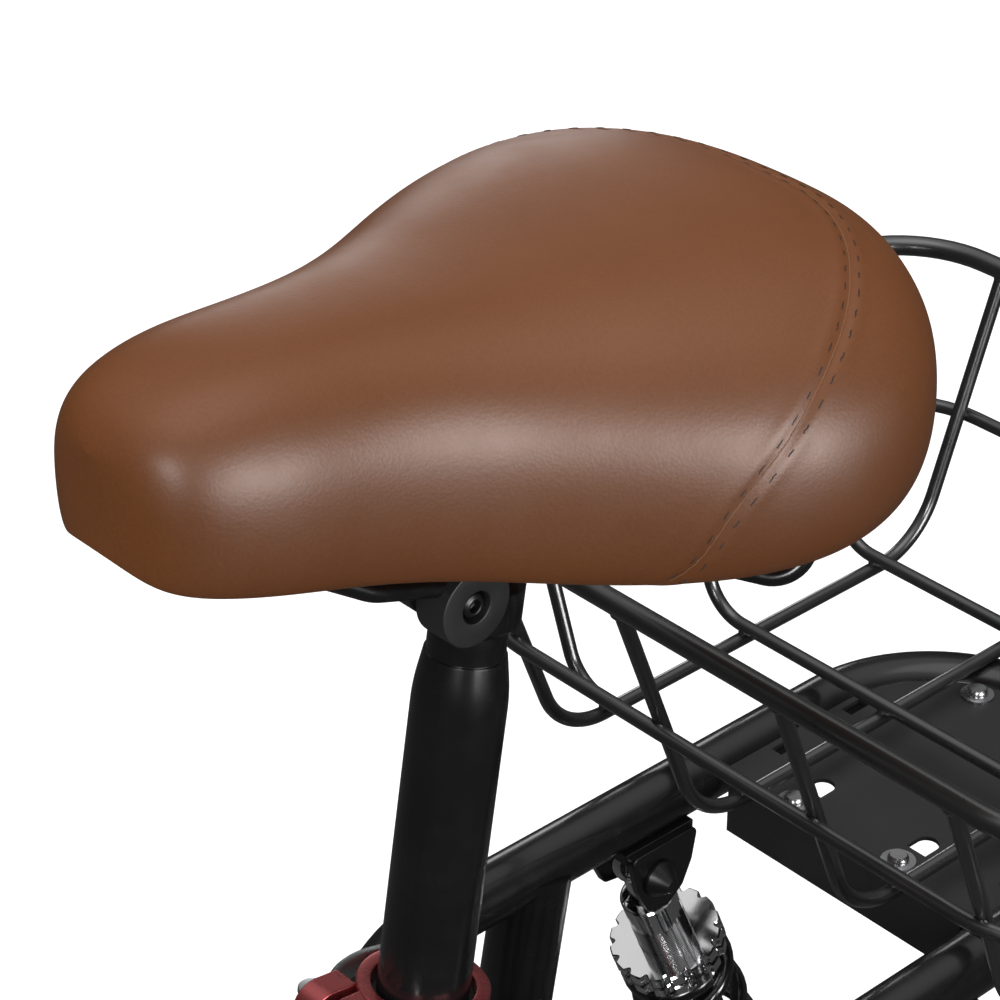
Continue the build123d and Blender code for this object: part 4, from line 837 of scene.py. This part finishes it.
def add_weld(shape, centre, radius):
    """A small flattened bead of weld."""
    shape.ball(centre, radius, 16, 0.8)


add_basket()


# -------------------------------------------------------------------- shocks
SHOCK_LEAN = radians(22.5)
SHOCK_DOWN = Vector((0, sin(SHOCK_LEAN), -cos(SHOCK_LEAN)))
SHOCK_X = 80.0
SPRING_TOP = 67.0
SPRING_FOOT = 284.0
SPRING_RADIUS = 21.0
SPRING_WIRE = 3.9
SPRING_TURNS = 9
COIL_STEPS = 36
EYE_Y = 166
EYE_Z = -210
EYES_APART = 320
DAMPER_RADIUS = 12.15
THREAD_PITCH = 1.2
THREAD_TURNS = 55
THREAD_DEPTH = 0.35
NOTCHES = 16
NOTCH_STEPS = 12
NOTCH_RADIUS = 2.3
RING_RADIUS = 25.0
RING_BORE = 12.3
RING_BEVEL = 0.7


def shock_point(side, along):
    """A point down a shock's axis from the middle of its upper eye."""
    return seat(side * SHOCK_X, EYE_Y, EYE_Z) + SHOCK_DOWN * along * MM


HANGER_GAP = 11.5
HANGER_THICK = 4.0
HANGER_FACE = [
    (150, -194), (189, -194), (186, -210), (181, -221), (172, -228), (161, -226), (155, -214),
]
HANGER_WEB = [(150, -198), (189, -198), (189, -192.5), (150, -192.5)]


def add_hangers():
    """A folded channel under each rail, with a cone-headed pivot bolt and its nut."""
    plates, bolts = Shape(), Shape()
    face = HANGER_GAP + HANGER_THICK
    cone = [(-face, 0), (-face, 5), (face, 5), (face, 8.4), (face + 1.6, 8.4)]
    cone += [(face + 8.6, 2.9), (face + 8.6, 0)]
    for side in SIDES.values():
        centre = side * SHOCK_X
        for low in (HANGER_GAP, -face):
            start = seat(centre + low, 0, 0)
            plates.slab(start, Y_AXIS, Z_AXIS, soft(HANGER_FACE, 3.2, True), HANGER_THICK)
        start = seat(centre - HANGER_GAP - 1, 0, 0)
        plates.slab(start, Y_AXIS, Z_AXIS, HANGER_WEB, 2 * HANGER_GAP + 2)
        eye = shock_point(side, 0)
        outward = X_AXIS * side
        bolts.lathe(eye, -outward, soft(cone, 0.4), 40)
        flat = (Y_AXIS, Z_AXIS) if side > 0 else (Z_AXIS, Y_AXIS)
        bolts.slab(eye + outward * face * MM, *flat, hexagon(8.2), 6.5)
    piece("hanger_channels", plates, "frame_black", "frame", ["shock_hangers"], bevel=0.5)
    piece("hanger_bolts", bolts, "black_alloy", "frame", bevel=0.3)


def body_outline():
    """The damper's tube: bored rim, plain neck band, fine threads, then plain."""
    outer, root = DAMPER_RADIUS, DAMPER_RADIUS - THREAD_DEPTH
    outline = [(29, 7.0), (29, 9.8), (24, 10.7), (23.3, 11.4), (24, outer), (38, outer)]
    for i in range(THREAD_TURNS):
        along = 38.0 + THREAD_PITCH * i
        outline += [(along + 0.15, outer), (along + 0.55, root)]
        outline += [(along + 0.65, root), (along + 1.05, outer)]
    return outline + [(195, outer), (196, 11.4), (196, 6.3)]


def castellated(side):
    """The preload ring and its lock ring: bevelled discs with half-round notches."""
    shape = Shape()
    up = SHOCK_DOWN.cross(X_AXIS)
    half = NOTCH_RADIUS / RING_RADIUS
    edge = []
    for i in range(NOTCHES):
        middle = 2 * pi * i / NOTCHES
        for j in range(NOTCH_STEPS + 1):
            share = 2 * j / NOTCH_STEPS - 1
            sunk = NOTCH_RADIUS * cos(pi / 2 * share)
            edge.append((middle + half * share, RING_RADIUS - sunk))
        for j in range(1, 4):
            land = 2 * pi / NOTCHES - 2 * half
            edge.append((middle + half + land * j / 4, RING_RADIUS))
    bore = [(turn, RING_BORE) for turn, _ in edge]
    trimmed = [(turn, radius - RING_BEVEL) for turn, radius in edge]
    for low, high in ((54.0, 60.2), (61.2, SPRING_TOP)):
        levels = [(low, bore), (low, trimmed), (low + RING_BEVEL, edge)]
        levels += [(high - RING_BEVEL, edge), (high, trimmed), (high, bore)]
        rings = []
        for along, outline in levels:
            centre = shock_point(side, along)
            spokes = [(X_AXIS * cos(turn) + up * sin(turn)) * radius for turn, radius in outline]
            rings.append([centre + spoke * MM for spoke in spokes])
        shape.join(rings, caps=False)
    return shape


def spring_line(side):
    """The coil's centreline, closed up at both ends as a ground spring is."""
    up = SHOCK_DOWN.cross(X_AXIS)
    gap = 0.1
    top = SPRING_TOP + SPRING_WIRE + gap
    foot = SPRING_FOOT - SPRING_WIRE - gap
    line = []
    steps = SPRING_TURNS * COIL_STEPS
    closed = 0.85
    for i in range(steps + 1):
        turns = SPRING_TURNS * i / steps
        squeezed = min(max((turns - closed) / (SPRING_TURNS - 2 * closed), 0.0), 1.0)
        lead = 2 * SPRING_WIRE * min(turns / closed, 1.0)
        tail = 2 * SPRING_WIRE * min(max(turns - SPRING_TURNS + closed, 0) / closed, 1.0)
        along = top + lead + squeezed * (foot - top - 4 * SPRING_WIRE) + tail
        turn = 2 * pi * turns
        centre = shock_point(side, along)
        line.append(centre + (X_AXIS * cos(turn) + up * sin(turn)) * SPRING_RADIUS * MM)
    return line


def add_shock(name, side):
    """One shock: tube and preload rings on the damper, a coil between, and the shaft."""
    damper, shaft = f"damper_{name}", f"shaft_{name}"
    eye = shock_point(side, 0)
    body = Shape()
    body.lathe(eye, SHOCK_DOWN, body_outline(), 72)
    body.ball(eye, 9.6, 40, 1.0, X_AXIS)
    body.lathe(eye, SHOCK_DOWN, soft([(4, 0), (4, 7.0), (30, 7.0), (30, 0)], 0.4), 48)
    piece(f"damper_tube_{name}", body, "chrome", damper, [f"shock_body_{name}"])
    piece(f"preload_ring_{name}", castellated(side), "chrome", damper, sharp=30)
    coil = Shape()
    coil.tube(spring_line(side), SPRING_WIRE, 18)
    spring = piece(f"coil_{name}", coil, "spring_black", None, [f"shock_spring_{name}"])
    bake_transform(spring)
    rod = Shape()
    foot = SPRING_FOOT
    rod.lathe(eye, SHOCK_DOWN, soft([(150, 0), (150, 6), (foot, 6)], 0.5) + [(foot, 6)], 48)
    seat_ring = [(foot, 6), (foot, 24.6), (288, 24.6), (292, 14), (308, 11), (312, 8), (312, 0)]
    rod.lathe(eye, SHOCK_DOWN, soft(seat_ring, 0.7), 72)
    lower_eye = soft([(-11, 5.4), (-11, 11), (11, 11), (11, 5.4)], 0.8)
    rod.lathe(shock_point(side, EYES_APART), X_AXIS, lower_eye, 48)
    piece(f"damper_rod_{name}", rod, "chrome", shaft, [f"shock_shaft_{name}"])


for name, side in SIDES.items():
    add_shock(name, side)
add_hangers()


# ------------------------------------------------------------- tyres and valves
FRONT_OUTSIDE = 202.0
FRONT_SEAT = 152.5
REAR_OUTSIDE = 153.0
REAR_SEAT = 101.5
WHEEL_BASE = 1060.0
HALF_TRACK = 250.0
REAR_AXLE = seat(0, 300, 0)
REAR_AXLE.z = REAR_OUTSIDE * MM
FRONT_AXLE = Vector((0, REAR_AXLE.y - WHEEL_BASE * MM, FRONT_OUTSIDE * MM))
TREAD_DEPTH = 1.3
BEAD_INSET = 2.9
# The long grooves' places and half width, as shares of the way from the crown to the side
GROOVES = (0.18, 0.5)
GROOVE_HALF = 0.035


def add_tyre(name, centre, outside, rim_seat, half, rim_half, blocks, body, node):
    """A tyre with a ribbed tread cut across into blocks, and beads inside the rim's walls."""
    middle = (outside + rim_seat + 3) / 2
    tall = outside - middle
    steps = 44
    bead = rim_half - BEAD_INSET
    reach = pi - asin(bead / half)
    section = []
    for i in range(steps + 1):
        turn = reach * (2 * i / steps - 1)
        section.append((half * sin(turn), middle + tall * cos(turn), abs(sin(turn))))
    inside = [(bead, rim_seat + 2), (bead - 4, rim_seat + 2)]
    inside += [(bead - 3, rim_seat + 10), (half - 5, middle)]
    inside += [(0, outside - 6), *[(-x, radius) for x, radius in reversed(inside)]]
    shape = Shape()
    rings = []
    steps_round = blocks * 4
    for j in range(steps_round):
        turn = 2 * pi * j / steps_round
        between_blocks = j % 4 == 0
        out = Y_AXIS * cos(turn) + Z_AXIS * sin(turn)
        ring = []
        for x, radius, aside in section:
            crosswise = between_blocks and 0.2 < aside < 0.86
            lengthwise = any(abs(aside - place) < GROOVE_HALF for place in GROOVES)
            grooved = radius > middle and (crosswise or lengthwise)
            sunk = TREAD_DEPTH if grooved else 0.0
            ring.append(centre + X_AXIS * x * MM + out * (radius - sunk) * MM)
        for x, radius in inside:
            ring.append(centre + X_AXIS * x * MM + out * radius * MM)
        rings.append(ring)
    shape.join(rings, loop=True)
    piece(name, shape, "tyre", body, [node], sharp=28)


def add_valve(name, centre, rim_seat, turn, body):
    """A valve stem with its cap, standing in from the rim."""
    out = Y_AXIS * cos(turn) + Z_AXIS * sin(turn)
    stem = [(-1, 0), (-1, 3.0), (14, 3.0), (15, 2.6), (24, 2.6), (25, 3.3), (33, 3.1), (34, 0)]
    shape = Shape()
    shape.lathe(centre + out * (rim_seat - 4) * MM, -out, soft(stem, 0.4), 20)
    piece(name, shape, "black_plastic", body)


add_tyre("front_tread", FRONT_AXLE, FRONT_OUTSIDE, FRONT_SEAT, 26.0, 17.0, 72,
         "front_wheel", "front_tyre")
add_valve("front_valve", FRONT_AXLE, FRONT_SEAT, radians(260), "front_wheel")
for name, body in (("left", "drive_axle"), ("right", "free_wheel")):
    wheel_centre = REAR_AXLE + X_AXIS * SIDES[name] * HALF_TRACK * MM
    add_tyre(f"rear_tread_{name}", wheel_centre, REAR_OUTSIDE, REAR_SEAT, 31.0, 18.0, 56,
             body, f"rear_tyre_{name}")
    add_valve(f"rear_valve_{name}", wheel_centre, REAR_SEAT, radians(262), body)


# ------------------------------------------------------------- light and floor
def softbox(name, place, target, width, height, power, matte=True, glossy=True):
    """A rectangular lamp. matte and glossy say which reflections it lights."""
    data = bpy.data.lights.new(name, "AREA")
    data.shape = "RECTANGLE"
    data.size = width
    data.size_y = height
    data.energy = power
    lamp = bpy.data.objects.new(name, data)
    bpy.context.collection.objects.link(lamp)
    aim = (Vector(target) - Vector(place)).to_track_quat("-Z", "Y")
    lamp.matrix_world = Matrix.Translation(Vector(place)) @ aim.to_matrix().to_4x4()
    lamp.visible_camera = False
    lamp.visible_diffuse = matte
    lamp.visible_glossy = glossy


def gradient(nodes, links, height, stops):
    """A colour ramp over the direction's height, from -1 to 1."""
    remap = nodes.new("ShaderNodeMapRange")
    remap.inputs["From Min"].default_value = -1.0
    remap.inputs["From Max"].default_value = 1.0
    links.new(height, remap.inputs["Value"])
    ramp = nodes.new("ShaderNodeValToRGB")
    links.new(remap.outputs["Result"], ramp.inputs["Fac"])
    elements = ramp.color_ramp.elements
    for index, (level, value) in enumerate(stops):
        place = (level + 1) / 2
        stop = elements[index] if index < 2 else elements.new(place)
        stop.position = place
        stop.color = (value, value, value, 1)
    return ramp.outputs["Color"]


def add_world():
    """White paper to the camera, even light to matte surfaces, a dark room to glossy ones."""
    world = bpy.data.worlds.new("studio")
    world.use_nodes = True
    bpy.context.scene.world = world
    nodes, links = world.node_tree.nodes, world.node_tree.links
    background = nodes["Background"]
    direction = nodes.new("ShaderNodeTexCoord").outputs["Generated"]
    parts = nodes.new("ShaderNodeSeparateXYZ")
    links.new(direction, parts.inputs["Vector"])
    height = parts.outputs["Z"]
    matte = gradient(nodes, links, height, ((-1.0, 0.28), (1.0, 0.95), (0.0, 0.56), (0.5, 0.86)))
    room_stops = ((-1.0, 0.08), (1.0, 0.9), (-0.1, 0.04), (0.3, 0.07), (0.58, 0.16), (0.8, 0.75))
    room = gradient(nodes, links, height, room_stops)
    path = nodes.new("ShaderNodeLightPath")
    result = matte
    for seen, colour in ((path.outputs["Is Glossy Ray"], room), (path.outputs["Is Camera Ray"], None)):
        mix = nodes.new("ShaderNodeMix")
        mix.data_type = "RGBA"
        links.new(seen, mix.inputs["Factor"])
        links.new(result, mix.inputs["A"])
        if colour:
            links.new(colour, mix.inputs["B"])
        else:
            mix.inputs["B"].default_value = (1, 1, 1, 1)
        result = mix.outputs["Result"]
    links.new(result, background.inputs["Color"])


def add_floor():
    """A wide sheet of white paper that sends no light back onto the tricycle."""
    mesh = bpy.data.meshes.new("floor")
    reach = 40.0
    corners = [(-reach, -reach, 0), (reach, -reach, 0), (reach, reach, 0), (-reach, reach, 0)]
    mesh.from_pydata(corners, [], [(0, 1, 2, 3)])
    floor = bpy.data.objects.new("floor", mesh)
    bpy.context.collection.objects.link(floor)
    material, _, _, shader = new_material("floor_paper")
    shader.inputs["Base Color"].default_value = (0.86, 0.86, 0.86, 1)
    shader.inputs["Roughness"].default_value = 0.9
    shader.inputs["Emission Color"].default_value = (1, 1, 1, 1)
    shader.inputs["Emission Strength"].default_value = 0.42
    mesh.materials.append(material)
    floor.visible_glossy = False
    floor.visible_diffuse = False


add_world()
add_floor()
softbox("side_box", (2.45, 0.4, 1.15), (0, 0.25, 0.85), 1.5, 0.9, 72, matte=False)
softbox("nose_box", (1.6, -2.0, 1.75), (0, 0.2, 0.85), 0.8, 0.8, 40, matte=False)
softbox("top_box", (0.2, 0.3, 3.2), (0, 0.3, 0.8), 1.9, 1.9, 12)
softbox("sky_box", (0.2, 0.3, 3.2), (0, 0.3, 0.8), 2.4, 2.4, 8, glossy=False)
softbox("far_box", (-2.2, 2.0, 1.2), (0, 0.35, 0.85), 0.8, 0.7, 5, matte=False)
softbox("fill_box", (1.8, -2.2, 1.3), (0, 0.2, 0.8), 1.6, 1.4, 17, glossy=False)
bpy.context.scene.view_settings.view_transform = "Standard"
